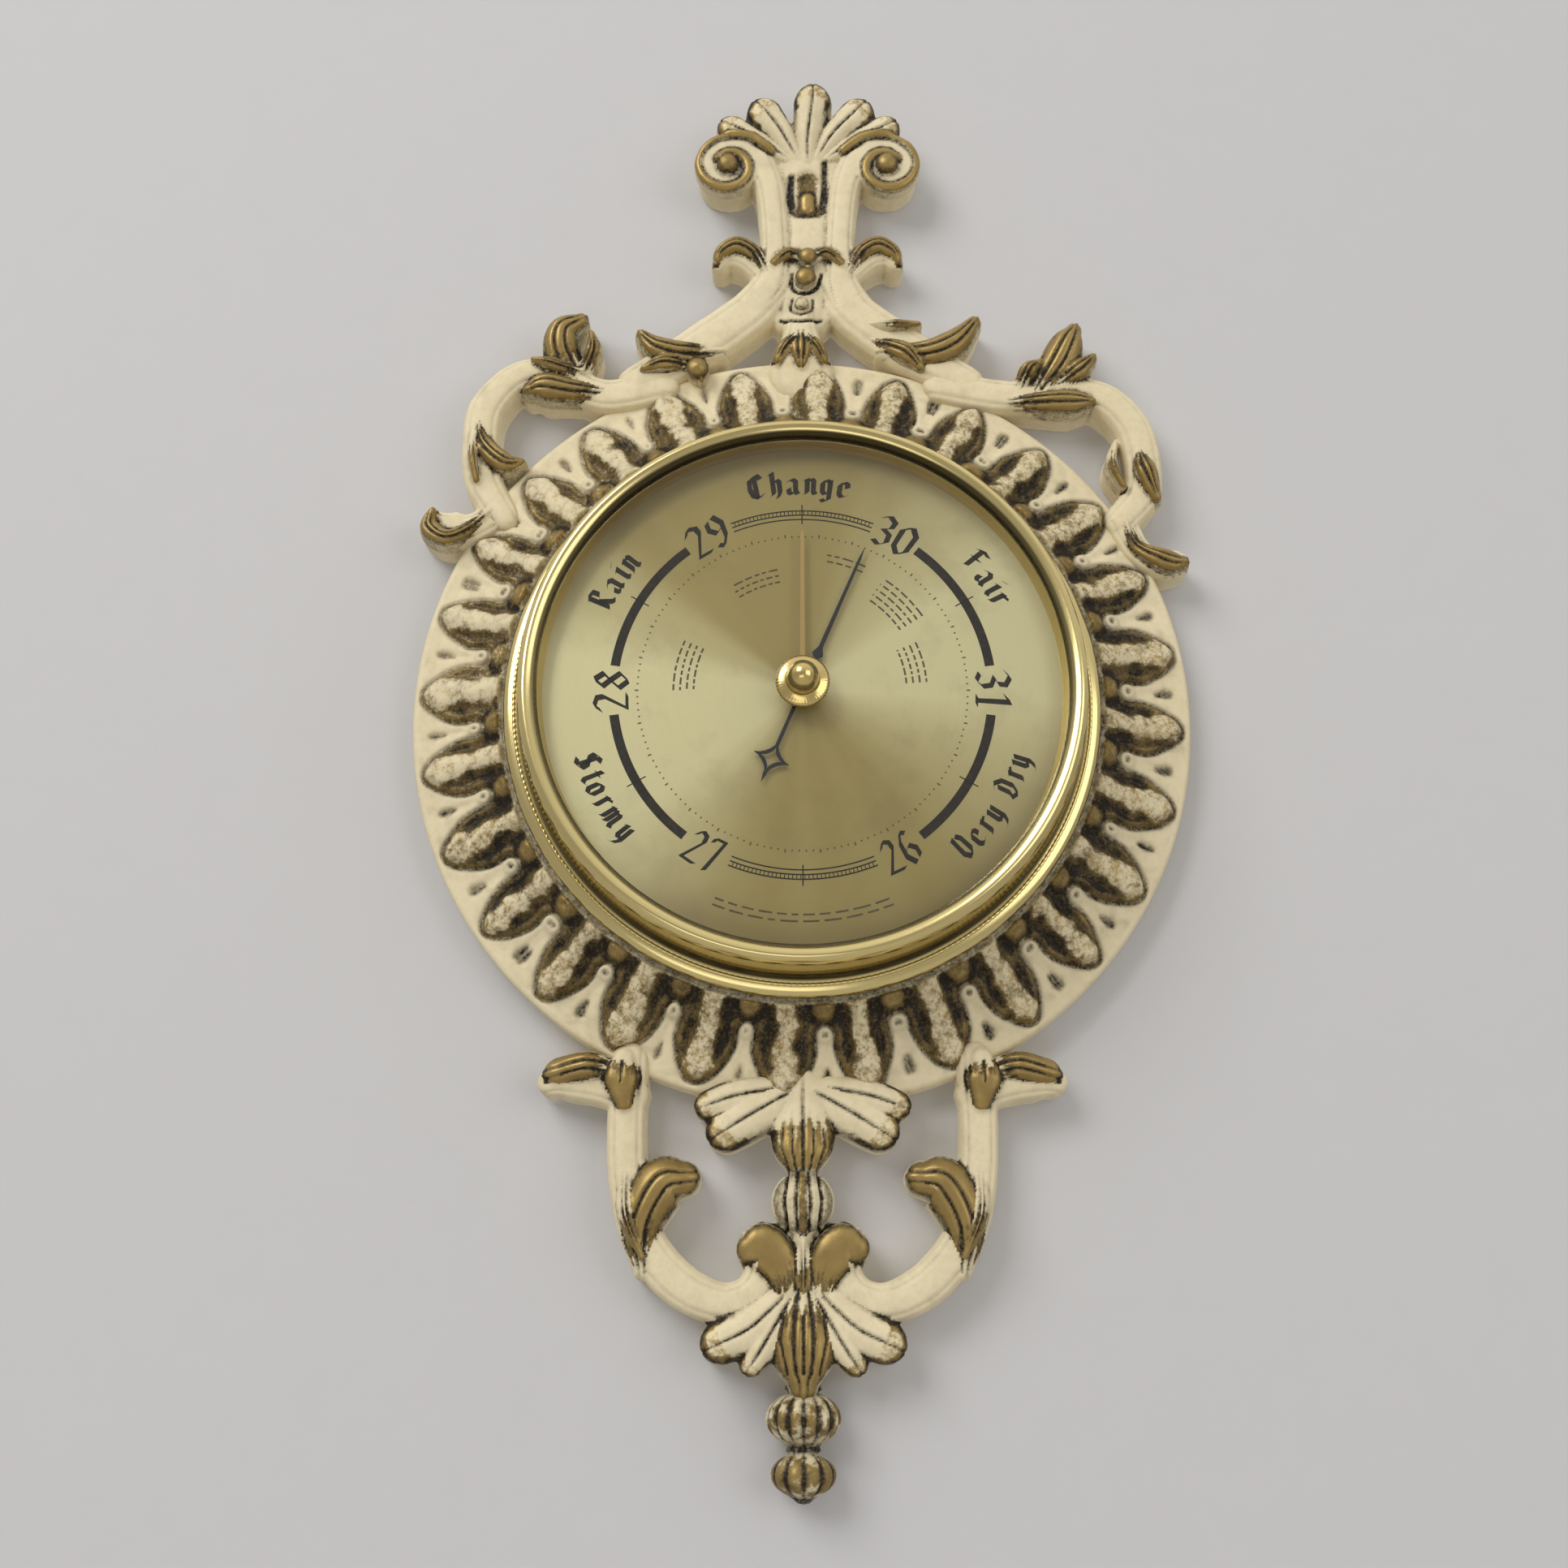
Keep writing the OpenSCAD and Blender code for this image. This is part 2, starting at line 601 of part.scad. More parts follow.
// Collet pressed on the spindle, with its long thin hand
module set_hand() {
    color("darkgoldenrod") on_wall() difference() {
        union() {
            translate([0, 0, hand_z]) cylinder(r = spindle_r + 1.2, h = hand_collet_h);
            translate([0, 0, hand_z + 0.1]) linear_extrude(hand_t) polygon([
                [-0.7, -5], [0.7, -5], [0.6, 0], [0.4, set_hand_l - 1.5], [0, set_hand_l],
                [-0.4, set_hand_l - 1.5], [-0.6, 0]]);
        }
        translate([0, 0, hand_z - cut]) cylinder(r = spindle_r, h = 4);
    }
}

module dial() {
    color("khaki") on_wall() difference() {
        translate([0, 0, dial_z]) cylinder(r = case_r - loose, h = dial_t, $fn = 180);
        translate([0, 0, dial_z - cut]) cylinder(r = arbor_r + 0.7, h = dial_t + 2 * cut);
    }
}

// Four-pointed star with hollow sides
function star(r) = [for (q = [0 : 3], t = [0 : 0.2 : 0.8])
    let (u = pow(1 - t, 1.5), v = pow(t, 1.5), a = q * 90)
    r * [u * cos(a) - v * sin(a), u * sin(a) + v * cos(a)]];

module pointer() {
    star_y = -0.75 * tail_l;
    color("black") on_wall() rotate([0, 0, -reading_a]) difference() {
        union() {
            translate([0, 0, pointer_z]) cylinder(r = 2.4, h = hub_h);
            translate([0, 0, pointer_z + 0.3]) linear_extrude(hand_t) difference() {
                union() {
                    polygon([[-0.6, -2], [0.6, -2], [0.3, pointer_l - 3], [0, pointer_l],
                             [-0.3, pointer_l - 3]]);
                    polygon([[-1.3, 8.6], [0, 7], [1.3, 8.6], [0, 11.5]]);
                    polygon([[-0.4, 0], [0.4, 0], [0.4, -tail_l + 2], [0, -tail_l],
                             [-0.4, -tail_l + 2]]);
                    translate([0, star_y]) polygon(star(star_r));
                }
                translate([0, star_y]) polygon(star(star_r * 0.62));
            }
        }
        translate([0, 0, pointer_z - cut]) cylinder(r = arbor_r, h = 5);
    }
}

module holes(places, r, z, h) {
    for (p = places) at(p, z) cylinder(r = r, h = h);
}

module base_plate() {
    color("darkkhaki") on_wall() difference() {
        translate([0, 0, base_z]) cylinder(r = base_r, h = plate_t, $fn = 120);
        translate([0, 0, base_z - cut]) cylinder(r = 7, h = 5);
        at(adjuster_at, base_z - cut) cylinder(r = adjuster_r + running, h = 5);
        holes(base_screw_at, small_r + loose, base_z - cut, 5);
        holes(concat(mount_screw_at, bracket_screw_at, rocker_screw_at), small_r, base_z - cut, 5);
    }
}

module base_screws() {
    color("silver") on_wall() for (p = base_screw_at)
        at(p) slotted_screw(base_top, small_r, head_r, head_h, base_top - case_recess - 0.2);
}

// Joggled steel leaf that carries the capsule and is bent by the adjusting screw
mount_w = 16;
module capsule_mount() {
    free_y = adjuster_at[1] + 4;
    color("slategray") on_wall() difference() {
        union() {
            translate([-mount_w / 2, -32, base_top]) cube([mount_w, 8, mount_t]);
            translate([-mount_w / 2, -25, mount_z]) cube([mount_w, 25 + free_y, mount_t]);
            translate([-mount_w / 2, -25, base_top]) cube([mount_w, 1, mount_gap + mount_t]);
        }
        holes(mount_screw_at, small_r + loose, base_top - cut, 5);
        translate([0, 0, base_top - cut]) cylinder(r = 1.5 + running, h = 5);
    }
}

module mount_screws() {
    color("silver") on_wall() for (p = mount_screw_at)
        at(p) slotted_screw(base_top + mount_t, small_r, head_r, head_h, mount_t + plate_t);
}

// Slotted grub screw, reached through the hole in the back of the case
module adjusting_screw() {
    color("gold") on_wall() at(adjuster_at) difference() {
        translate([0, 0, case_recess + 0.4])
            cylinder(r = adjuster_r, h = mount_z - 0.05 - case_recess - 0.4);
        translate([-3, -0.3, case_recess - cut]) cube([6, 0.6, cut + 1]);
    }
}

// Half of the corrugated capsule: waves from the hub out to the soldered rim
function waves(z, s) = [for (k = [0 : 6])
    let (r = 4 + (capsule_r - 5) * k / 6) [r, z + s * (k % 2 == 0 ? 0 : 0.5)]];
module capsule_half(rim, face) {
    s = face > rim ? -1 : 1;
    rotate_extrude($fn = 96) polygon(concat(
        [[0, face]], waves(face, s),
        [[capsule_r - 0.4, rim - s * 0.6], [capsule_r, rim - s * 0.4], [capsule_r, rim], [0, rim]]));
}

capsule_mid = capsule_z + capsule_t / 2;
module capsule_rear() {
    color("silver") on_wall() {
        capsule_half(capsule_mid - 0.125, capsule_z);
        translate([0, 0, base_z + 0.3]) cylinder(r = 1.5, h = capsule_z - base_z);
    }
}

module capsule_nut() {
    color("gold") on_wall() difference() {
        translate([0, 0, base_z + 0.5]) cylinder(r = 4, h = mount_z - base_z - 0.5, $fn = 6);
        translate([0, 0, base_z - cut]) cylinder(r = 1.5, h = 6);
    }
}

pin_r = 0.5;
pin_z = lever_top + loose + pin_r;
module capsule_front() {
    color("silver") on_wall() difference() {
        union() {
            capsule_half(capsule_mid + 0.125, capsule_top);
            translate([0, 0, capsule_top - 0.5]) cylinder(r = 2.4, h = collar_h + 0.5 - loose);
            translate([0, 0, capsule_top]) cylinder(r = 1.2, h = post_top - capsule_top);
        }
        translate([-2, 0, pin_z]) rotate([0, 90, 0]) cylinder(r = pin_r, h = 4);
    }
}

module capsule_pin() {
    color("silver") on_wall() translate([-2.5, 0, pin_z]) rotate([0, 90, 0]) cylinder(r = pin_r, h = 5);
}

// Upright ears with a foot on the base plate, holding the lever's pivot
ear_in = 4.2;
ear_t = 1.2;
module lever_bracket() {
    x = -lever_back;
    color("gold") on_wall() difference() {
        union() {
            translate([x - 8, -ear_in - ear_t, base_top])
                cube([10.5, 2 * (ear_in + ear_t), 1.2]);
            for (y = [-ear_in - ear_t, ear_in]) {
                translate([x - 2.5, y, base_top]) cube([5, ear_t, lever_mid - base_top]);
                translate([x, y, lever_mid]) rotate([-90, 0, 0]) cylinder(r = 2.5, h = ear_t);
            }
        }
        translate([x, -2 * pivot_half, lever_mid])
            rotate([-90, 0, 0]) cylinder(r = pivot_r, h = 4 * pivot_half);
        holes(bracket_screw_at, small_r + loose, base_top - cut, 5);
    }
}

module bracket_screws() {
    color("silver") on_wall() for (p = bracket_screw_at)
        at(p) slotted_screw(base_top + 1.2, small_r, head_r, head_h, 1.2 + plate_t);
}

module lever_pivot() {
    color("silver") on_wall() translate([-lever_back, -pivot_half, lever_mid])
        rotate([-90, 0, 0]) cylinder(r = pivot_r, h = 2 * pivot_half);
}

module main_lever() {
    color("silver") on_wall() difference() {
        union() {
            translate([0, 0, lever_z]) linear_extrude(lever_t) polygon([
                [-lever_back, -3.5], [-6, -3.5], [6, -3], [12, -1.2], [lever_tip, -0.8],
                [lever_tip, 0.8], [12, 1.2], [6, 3], [-6, 3.5], [-lever_back, 3.5]]);
            translate([-lever_back, -4, lever_mid]) rotate([-90, 0, 0]) cylinder(r = 1.6, h = 8);
            translate([lever_tip, -0.8, lever_mid]) rotate([-90, 0, 0]) cylinder(r = 1.1, h = 1.6);
            translate([lever_tip, 0, lever_mid])
                rotate([-90, 0, 0]) cylinder(r = link_pin_r, h = 0.8 + link_pin_l);
        }
        translate([-lever_back, -5, lever_mid]) rotate([-90, 0, 0]) cylinder(r = 0.85, h = 10);
        translate([0, 0, lever_z - cut]) cylinder(r = 1.5, h = 4);
    }
}

module link() {
    gap = link_pin_r + loose;
    color("silver") on_wall() translate([lever_tip, 0.95, 0]) difference() {
        union() {
            for (z = [rocker_z, lever_mid])
                translate([0, 0, z]) rotate([-90, 0, 0]) cylinder(r = 1.4, h = 1);
            translate([-0.7, 0, rocker_z]) cube([1.4, 1, lever_mid - rocker_z]);
        }
        for (z = [rocker_z, lever_mid])
            translate([0, -1, z]) rotate([-90, 0, 0]) cylinder(r = gap, h = 3);
    }
}

module rocker_bracket() {
    l = rocker_hi - rocker_lo;
    color("gold") on_wall() difference() {
        union() {
            translate([rocker_x - 2.5, rocker_lo - 1.2, base_top]) cube([5, l + 2.4, 1]);
            for (p = rocker_screw_at) {
                at(p, base_top) cylinder(r = 2.8, h = 1);
                translate([rocker_x, p[1] - 2.8, base_top]) cube([5, 5.6, 1]);
            }
            for (y = [rocker_lo - 1.2, rocker_hi]) {
                translate([rocker_x - 2.5, y, base_top]) cube([5, 1.2, rocker_z - base_top]);
                translate([rocker_x, y, rocker_z]) rotate([-90, 0, 0]) cylinder(r = 2.5, h = 1.2);
            }
        }
        translate([rocker_x, rocker_lo - 3, rocker_z])
            rotate([-90, 0, 0]) cylinder(r = 0.55, h = l + 6);
        holes(rocker_screw_at, small_r + loose, base_top - cut, 5);
    }
}

module rocker_screws() {
    color("silver") on_wall() for (p = rocker_screw_at)
        at(p) slotted_screw(base_top + 1, small_r, head_r, head_h, 1 + plate_t);
}

// Shaft with the link arm low down and the driving arm near the sector
module rocker_shaft() {
    l = rocker_hi - rocker_lo;
    arm = sector_z - 0.6 - rocker_z;
    color("silver") on_wall() {
        translate([rocker_x, rocker_lo + 0.2, rocker_z])
            rotate([-90, 0, 0]) cylinder(r = rocker_r, h = l - 0.4);
        translate([rocker_x, rocker_lo - 1, rocker_z])
            rotate([-90, 0, 0]) cylinder(r = 0.5, h = l + 2);
        translate([lever_tip, -0.8, rocker_z - 0.8]) cube([link_arm, 1.6, 1.6]);
        translate([lever_tip, -0.8, rocker_z]) rotate([-90, 0, 0]) cylinder(r = 1.1, h = 1.6);
        translate([lever_tip, 0, rocker_z])
            rotate([-90, 0, 0]) cylinder(r = link_pin_r, h = 0.8 + link_pin_l);
        translate([rocker_x - 0.8, drive_y - 1, rocker_z]) cube([1.6, 2, arm]);
        translate([rocker_x, drive_y, rocker_z]) cylinder(r = drive_pin_r, h = arm + 2.4);
    }
}

module train_pillars() {
    color("gold") on_wall() for (p = pillar_at) at(p, base_top)
        cylinder(r = pillar_r, h = train_z - base_top);
}

// Outline shared by the two train plates
module train_outline() {
    reach = rocker_x + 4;
    polygon([[-19, 17], [-16, 23], [-8, 21], [16, 29], [20, 30.5], [23.5, 28], [reach, 18],
             [reach, 6], [24, -22], [21, -26], [17, -26], [-12, -22], [-16, -23], [-19, -20]]);
}

module train_plate() {
    notch_y = drive_y - 1.6;
    color("gold") on_wall() difference() {
        translate([0, 0, train_z]) linear_extrude(train_t) train_outline();
        translate([0, 0, train_z - cut]) cylinder(r = arbor_r + running, h = 5);
        at(sector_at, train_z - cut) cylinder(r = arbor_r + running, h = 5);
        holes(pillar_at, small_r, train_z - cut, 5);
        translate([rocker_x - 2, notch_y, train_z - cut]) cube([8, 3.2, 5]);
    }
}

module spacer_pillars() {
    color("gold") on_wall() for (p = pillar_at) at(p) union() {
        translate([0, 0, train_top]) cylinder(r = spacer_r, h = gear_gap);
        translate([0, 0, train_z]) cylinder(r = small_r, h = train_t + 1);
    }
}

module front_plate() {
    color("gold") on_wall() difference() {
        translate([0, 0, cock_z]) linear_extrude(train_t) train_outline();
        translate([0, 0, cock_z - cut]) cylinder(r = arbor_r + running, h = 5);
        at(sector_at, cock_z - cut) cylinder(r = arbor_r + running, h = 5);
        holes(pillar_at, small_r - 0.2, cock_z - cut, 5);
        at(stud_at, cock_z - cut) cylinder(r = stud_r, h = 5);
    }
}

module pillar_screws() {
    color("silver") on_wall() for (p = pillar_at)
        at(p) slotted_screw(cock_top, small_r - 0.2, head_r, 0.8, train_t);
}

// Half angle of a tooth at radius r on a wheel of pitch radius rp
function inv(a) = tan(a) - a * PI / 180;
function tooth_a(rp, r) =
    let (rb = rp * cos(20), a = acos(min(1, rb / r)))
    (gear_m * PI / 4 - backlash) / rp * 180 / PI + (inv(20) - inv(a)) * 180 / PI;
function polar(r, a) = r * [cos(a), sin(a)];
function tooth(rp, root, tip, a) =
    let (base = max(root, rp * cos(20)), n = 4)
    concat([polar(root, a - tooth_a(rp, base))],
           [for (k = [0 : n]) let (r = base + (tip - base) * k / n) polar(r, a - tooth_a(rp, r))],
           [for (k = [n : -1 : 0]) let (r = base + (tip - base) * k / n) polar(r, a + tooth_a(rp, r))],
           [polar(root, a + tooth_a(rp, base))]);

sector_first = -5;
sector_last = 9;
module sector() {
    root = wheel_r - 1.35 * gear_m;
    a0 = (sector_first - 0.2) * wheel_pitch_a;
    a1 = (sector_last + 1.2) * wheel_pitch_a;
    color("gold") on_wall() at(sector_at, sector_z) difference() {
        union() {
            linear_extrude(sector_t) rotate([0, 0, mesh_a + 180]) {
                polygon(concat(
                    [for (k = [sector_first : sector_last], q = tooth(wheel_r, root, wheel_r + wheel_add,
                                                                     (k + 0.5) * wheel_pitch_a)) q],
                    [for (a = [a1 : (a0 - a1) / 12 : a0]) polar(wheel_r - 4, a)]));
                for (a = [a0 + 2, a1 - 2])
                    rotate([0, 0, a]) translate([0, -1.1]) square([wheel_r - 2.5, 2.2]);
            }
            cylinder(r = 3.2, h = sector_t);
            translate([-1.9, 0, 0]) cube([3.8, tail_arm + 2.2, sector_t]);
        }
        translate([0, 0, -cut]) cylinder(r = arbor_r, h = 4);
        translate([-drive_pin_r - 2 * loose, tail_arm - 1.1, -cut])
            cube([2 * drive_pin_r + 4 * loose, 2.4, 4]);
    }
}

// Arbor with a shoulder each side of the wheel, running in both plates
module arbor(lo, hi, shoulder_lo, shoulder_hi) {
    translate([0, 0, lo]) cylinder(r = arbor_r, h = hi - lo);
    translate([0, 0, train_top + running]) cylinder(r = arbor_r + 0.6, h = shoulder_lo - train_top - running);
    translate([0, 0, shoulder_hi]) cylinder(r = arbor_r + 0.6, h = cock_z - running - shoulder_hi);
}

module sector_arbor() {
    color("silver") on_wall() at(sector_at)
        arbor(train_z, cock_top, sector_z, sector_z + sector_t);
}

pinion_z = sector_z - 0.5;
pinion_h = sector_t + 1;
collet_z = pinion_z + pinion_h + 0.2;
collet_h = 1;
module pointer_arbor() {
    root = pinion_r - wheel_add - 0.12;
    color("silver") on_wall() {
        arbor(train_z, pointer_z + hub_h, pinion_z, collet_z + collet_h);
        translate([0, 0, pinion_z]) linear_extrude(pinion_h) rotate([0, 0, mesh_a])
            polygon([for (k = [0 : pinion_n - 1], q = tooth(pinion_r, root, pinion_r + gear_m,
                                                           k * 360 / pinion_n)) q]);
        translate([0, 0, pinion_z + pinion_h / 2]) cylinder(r = arbor_r + 0.3, h = collet_z - pinion_z - pinion_h / 2);
    }
}

collet_r = 1.7;
module hairspring_collet() {
    color("gold") on_wall() translate([0, 0, collet_z]) difference() {
        cylinder(r = collet_r, h = collet_h);
        translate([0, 0, -cut]) cylinder(r = arbor_r, h = 3);
    }
}

// Flat spiral spring from the collet out to the stud
spring_out = 6.6;
spring_w = 0.14;
stud_r = 0.7;
stud_at = [0, spring_out + stud_r - 0.1];
module hairspring() {
    turns = 360 * hairspring_n;
    color("steelblue") on_wall() translate([0, 0, collet_z + 0.2]) linear_extrude(0.6)
        polygon(ribbon(spiral([0, 0], spring_out, collet_r + spring_w, 90, 90 - turns, spring_w,
                              24 * hairspring_n), 1));
}

module hairspring_stud() {
    color("gold") on_wall() at(stud_at, collet_z)
        cylinder(r = stud_r, h = cock_top - collet_z);
}

frame();
hanger_plate();
hanger_screws();
case_pan();
case_screws();
bezel();
sight_ring();
glass();
knob_washer();
set_knob();
set_hand_washer();
set_hand();
dial();
pointer();
base_plate();
base_screws();
capsule_mount();
mount_screws();
adjusting_screw();
capsule_rear();
capsule_nut();
capsule_front();
capsule_pin();
lever_bracket();
bracket_screws();
lever_pivot();
main_lever();
link();
rocker_bracket();
rocker_screws();
rocker_shaft();
train_pillars();
train_plate();
spacer_pillars();
front_plate();
pillar_screws();
sector_arbor();
sector();
pointer_arbor();
hairspring_collet();
hairspring();
hairspring_stud();
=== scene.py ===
"""Wall barometer: the looks and the fine shapes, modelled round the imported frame."""

import math
import random

import bmesh
import bpy
import numpy as np
from mathutils import Matrix, Vector


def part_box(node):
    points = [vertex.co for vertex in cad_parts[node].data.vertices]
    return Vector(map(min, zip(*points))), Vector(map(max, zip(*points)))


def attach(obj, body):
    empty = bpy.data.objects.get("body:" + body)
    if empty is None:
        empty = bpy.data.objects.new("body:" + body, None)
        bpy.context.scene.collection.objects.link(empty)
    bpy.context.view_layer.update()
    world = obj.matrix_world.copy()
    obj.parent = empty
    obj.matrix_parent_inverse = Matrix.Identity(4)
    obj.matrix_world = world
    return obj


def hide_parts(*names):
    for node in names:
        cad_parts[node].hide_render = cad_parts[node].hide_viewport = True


bl_info = {
    "name": "Wall Barometer",
    "version": (1, 0, 0),
    "blender": (4, 5, 0),
    "location": "3D View > Sidebar > Barometer",
    "description": "Models a cast and gilt wall barometer round its packed frame",
    "category": "Object",
}

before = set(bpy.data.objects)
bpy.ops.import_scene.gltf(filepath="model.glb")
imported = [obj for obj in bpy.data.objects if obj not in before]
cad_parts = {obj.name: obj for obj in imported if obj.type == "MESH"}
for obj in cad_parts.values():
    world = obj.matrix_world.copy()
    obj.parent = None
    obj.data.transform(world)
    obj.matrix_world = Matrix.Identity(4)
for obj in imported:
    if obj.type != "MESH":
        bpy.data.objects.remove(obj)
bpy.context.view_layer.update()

MM = 0.001
GLASS_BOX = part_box("glass")
AXIS = Vector((0, 0, (GLASS_BOX[0].z + GLASS_BOX[1].z) / 2))


def front(node):
    """Height of a CAD node's front above the wall, in millimetres."""
    return -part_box(node)[0].y / MM


def radius(node):
    """Outer radius of a round CAD node, in millimetres."""
    low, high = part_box(node)
    return (high.x - low.x) / 2 / MM


DIAL_TOP = front("dial")
GLASS_TOP = front("glass")
BEZEL_TOP = front("bezel")
BEZEL_R = radius("bezel")
SEAT_R = 62.0
SEAT_H = 16.0


def place(x, y, h):
    """Point x to the right of and y above the dial's centre, h out of the wall."""
    return Vector((x, -h, y)) * MM + AXIS


def measured(point):
    """Undoes place: x and y on the dial and the height out of the wall, in millimetres."""
    return point[0] / MM, (point[2] - AXIS.z) / MM, -point[1] / MM


def bell(v, width):
    """1 where v is 0, falling off smoothly on both sides."""
    return np.exp(-((v / width) ** 2))


def smoothstep(a, b, v):
    """0 below a, 1 above b, smooth between."""
    t = np.clip((v - a) / (b - a), 0.0, 1.0)
    return t * t * (3 - 2 * t)


# ---------------------------------------------------------------- settings


class BAROMETER_PG_shape(bpy.types.PropertyGroup):
    """Sizes of the modelled detail."""

    leaves: bpy.props.IntProperty(
        name="Wreath leaves", description="Leaves round the dial", default=28, min=20, max=36
    )
    voxel: bpy.props.FloatProperty(
        name="Casting detail",
        description="Size of the finest detail of the cast scrolls",
        default=0.00042,
        min=0.0003,
        max=0.002,
        subtype="DISTANCE",
    )
    ring_r: bpy.props.FloatProperty(
        name="Scale radius",
        description="Outer radius of the printed scale ring",
        default=0.0432,
        subtype="DISTANCE",
    )
    beads: bpy.props.IntProperty(
        name="Bezel rope turns", description="Turns of the roped line on the bezel", default=300
    )


class BAROMETER_PG_colours(bpy.types.PropertyGroup):
    """Colours of paint and metal."""

    cream: bpy.props.FloatVectorProperty(
        name="Cream", description="Cream paint", subtype="COLOR", default=(0.66, 0.565, 0.355)
    )
    gilt: bpy.props.FloatVectorProperty(
        name="Gilt", description="Gilt paint", subtype="COLOR", default=(0.27, 0.178, 0.055)
    )
    # Dark colour of the wash and of the painted shade in hollows
    wash: bpy.props.FloatVectorProperty(
        name="Wash", description="Dark wash", subtype="COLOR", default=(0.012, 0.0075, 0.003)
    )
    wall: bpy.props.FloatVectorProperty(
        name="Wall", description="Wall behind", subtype="COLOR", default=(0.535, 0.525, 0.52)
    )


# ---------------------------------------------------------------- materials


class Socket:
    """A shader socket on which Python sums build Math nodes."""

    def __init__(self, build, link):
        self.build = build
        self.link = link

    def _math(self, operation, *values, clamp=False):
        return self.build.node(
            "ShaderNodeMath", {"operation": operation, "use_clamp": clamp}, dict(enumerate(values))
        )

    def __add__(self, other):
        return self._math("ADD", self, other)

    __radd__ = __add__

    def __sub__(self, other):
        return self._math("SUBTRACT", self, other)

    def __rsub__(self, other):
        return self._math("SUBTRACT", other, self)

    def __mul__(self, other):
        return self._math("MULTIPLY", self, other)

    def power(self, other):
        return self._math("POWER", self, other)

    def sine(self):
        return self._math("SINE", self)

    def clamp(self):
        return self._math("ADD", self, 0.0, clamp=True)

    def step(self, low, high):
        """0 below low, 1 above high, smooth between."""
        return self.build.node(
            "ShaderNodeMapRange",
            {"interpolation_type": "SMOOTHSTEP"},
            {"Value": self, "From Min": low, "From Max": high},
        )


class Build:
    """Adds nodes to one node tree."""

    def __init__(self, tree):
        self.tree = tree

    def node(self, kind, settings=None, inputs=None, output=0):
        """Makes a node with its settings and inputs, and gives one of its outputs."""
        made = self.tree.nodes.new(kind)
        for key, value in (settings or {}).items():
            setattr(made, key, value)
        for key, value in (inputs or {}).items():
            socket = made.inputs[key]
            if isinstance(value, Socket):
                self.tree.links.new(value.link, socket)
            else:
                socket.default_value = value
        return Socket(self, made.outputs[output])


class Finish(Build):
    """Builds one material."""

    def __init__(self, name):
        self.material = bpy.data.materials.new(name)
        self.material.use_nodes = True
        super().__init__(self.material.node_tree)
        self.shader = self.tree.nodes["Principled BSDF"]

    def position(self):
        return self.node("ShaderNodeTexCoord", output="Object")

    def noise(self, scale, detail=3.0, rough=0.55, stretch=(1, 1, 1), seed=0.0):
        moved = self.node(
            "ShaderNodeMapping",
            inputs={"Vector": self.position(), "Scale": stretch, "Location": (seed, seed, seed)},
        )
        return self.node(
            "ShaderNodeTexNoise",
            inputs={"Vector": moved, "Scale": scale, "Detail": detail, "Roughness": rough},
        )

    def attribute(self, name):
        return self.node("ShaderNodeAttribute", {"attribute_name": name}, output="Fac")

    def mix(self, factor, a, b):
        values = {"Factor": factor, 6: colour(a), 7: colour(b)}
        return self.node("ShaderNodeMix", {"data_type": "RGBA"}, values, output=2)

    def bump(self, height, distance, strength):
        values = {"Height": height, "Distance": distance, "Strength": strength}
        return self.node("ShaderNodeBump", inputs=values)

    def streaks(self, along, scale, detail=3.0, rough=0.7):
        """Noise along one measure."""
        values = {"W": along, "Scale": scale, "Detail": detail, "Roughness": rough}
        return self.node("ShaderNodeTexNoise", {"noise_dimensions": "1D"}, values)

    def from_axis(self):
        """The vector from the dial's axis and its length, seen from the front."""
        at = {0: self.position(), 1: tuple(AXIS)}
        middle = self.node("ShaderNodeVectorMath", {"operation": "SUBTRACT"}, at)
        level = {0: middle, 1: (1, 0, 1)}
        flat = self.node("ShaderNodeVectorMath", {"operation": "MULTIPLY"}, level)
        out = self.node("ShaderNodeVectorMath", {"operation": "LENGTH"}, {0: flat}, output="Value")
        return middle, out

    def blended(self, share, a, b):
        """Makes the surface a mix of two shaders."""
        mixed = self.node("ShaderNodeMixShader", inputs={0: share, 1: a, 2: b})
        self.tree.links.new(mixed.link, self.tree.nodes["Material Output"].inputs["Surface"])

    def set(self, **values):
        for key, value in values.items():
            socket = self.shader.inputs[key.replace("_", " ")]
            if isinstance(value, Socket):
                self.tree.links.new(value.link, socket)
            else:
                socket.default_value = colour(value)
        return self.material


def colour(value):
    """An RGBA value from an RGB one; anything else as it is."""
    if isinstance(value, Socket) or isinstance(value, (int, float)):
        return value
    value = tuple(value)
    return value + (1.0,) if len(value) == 3 else value


def shades():
    """Colours set in the panel."""
    return bpy.context.scene.barometer_colours


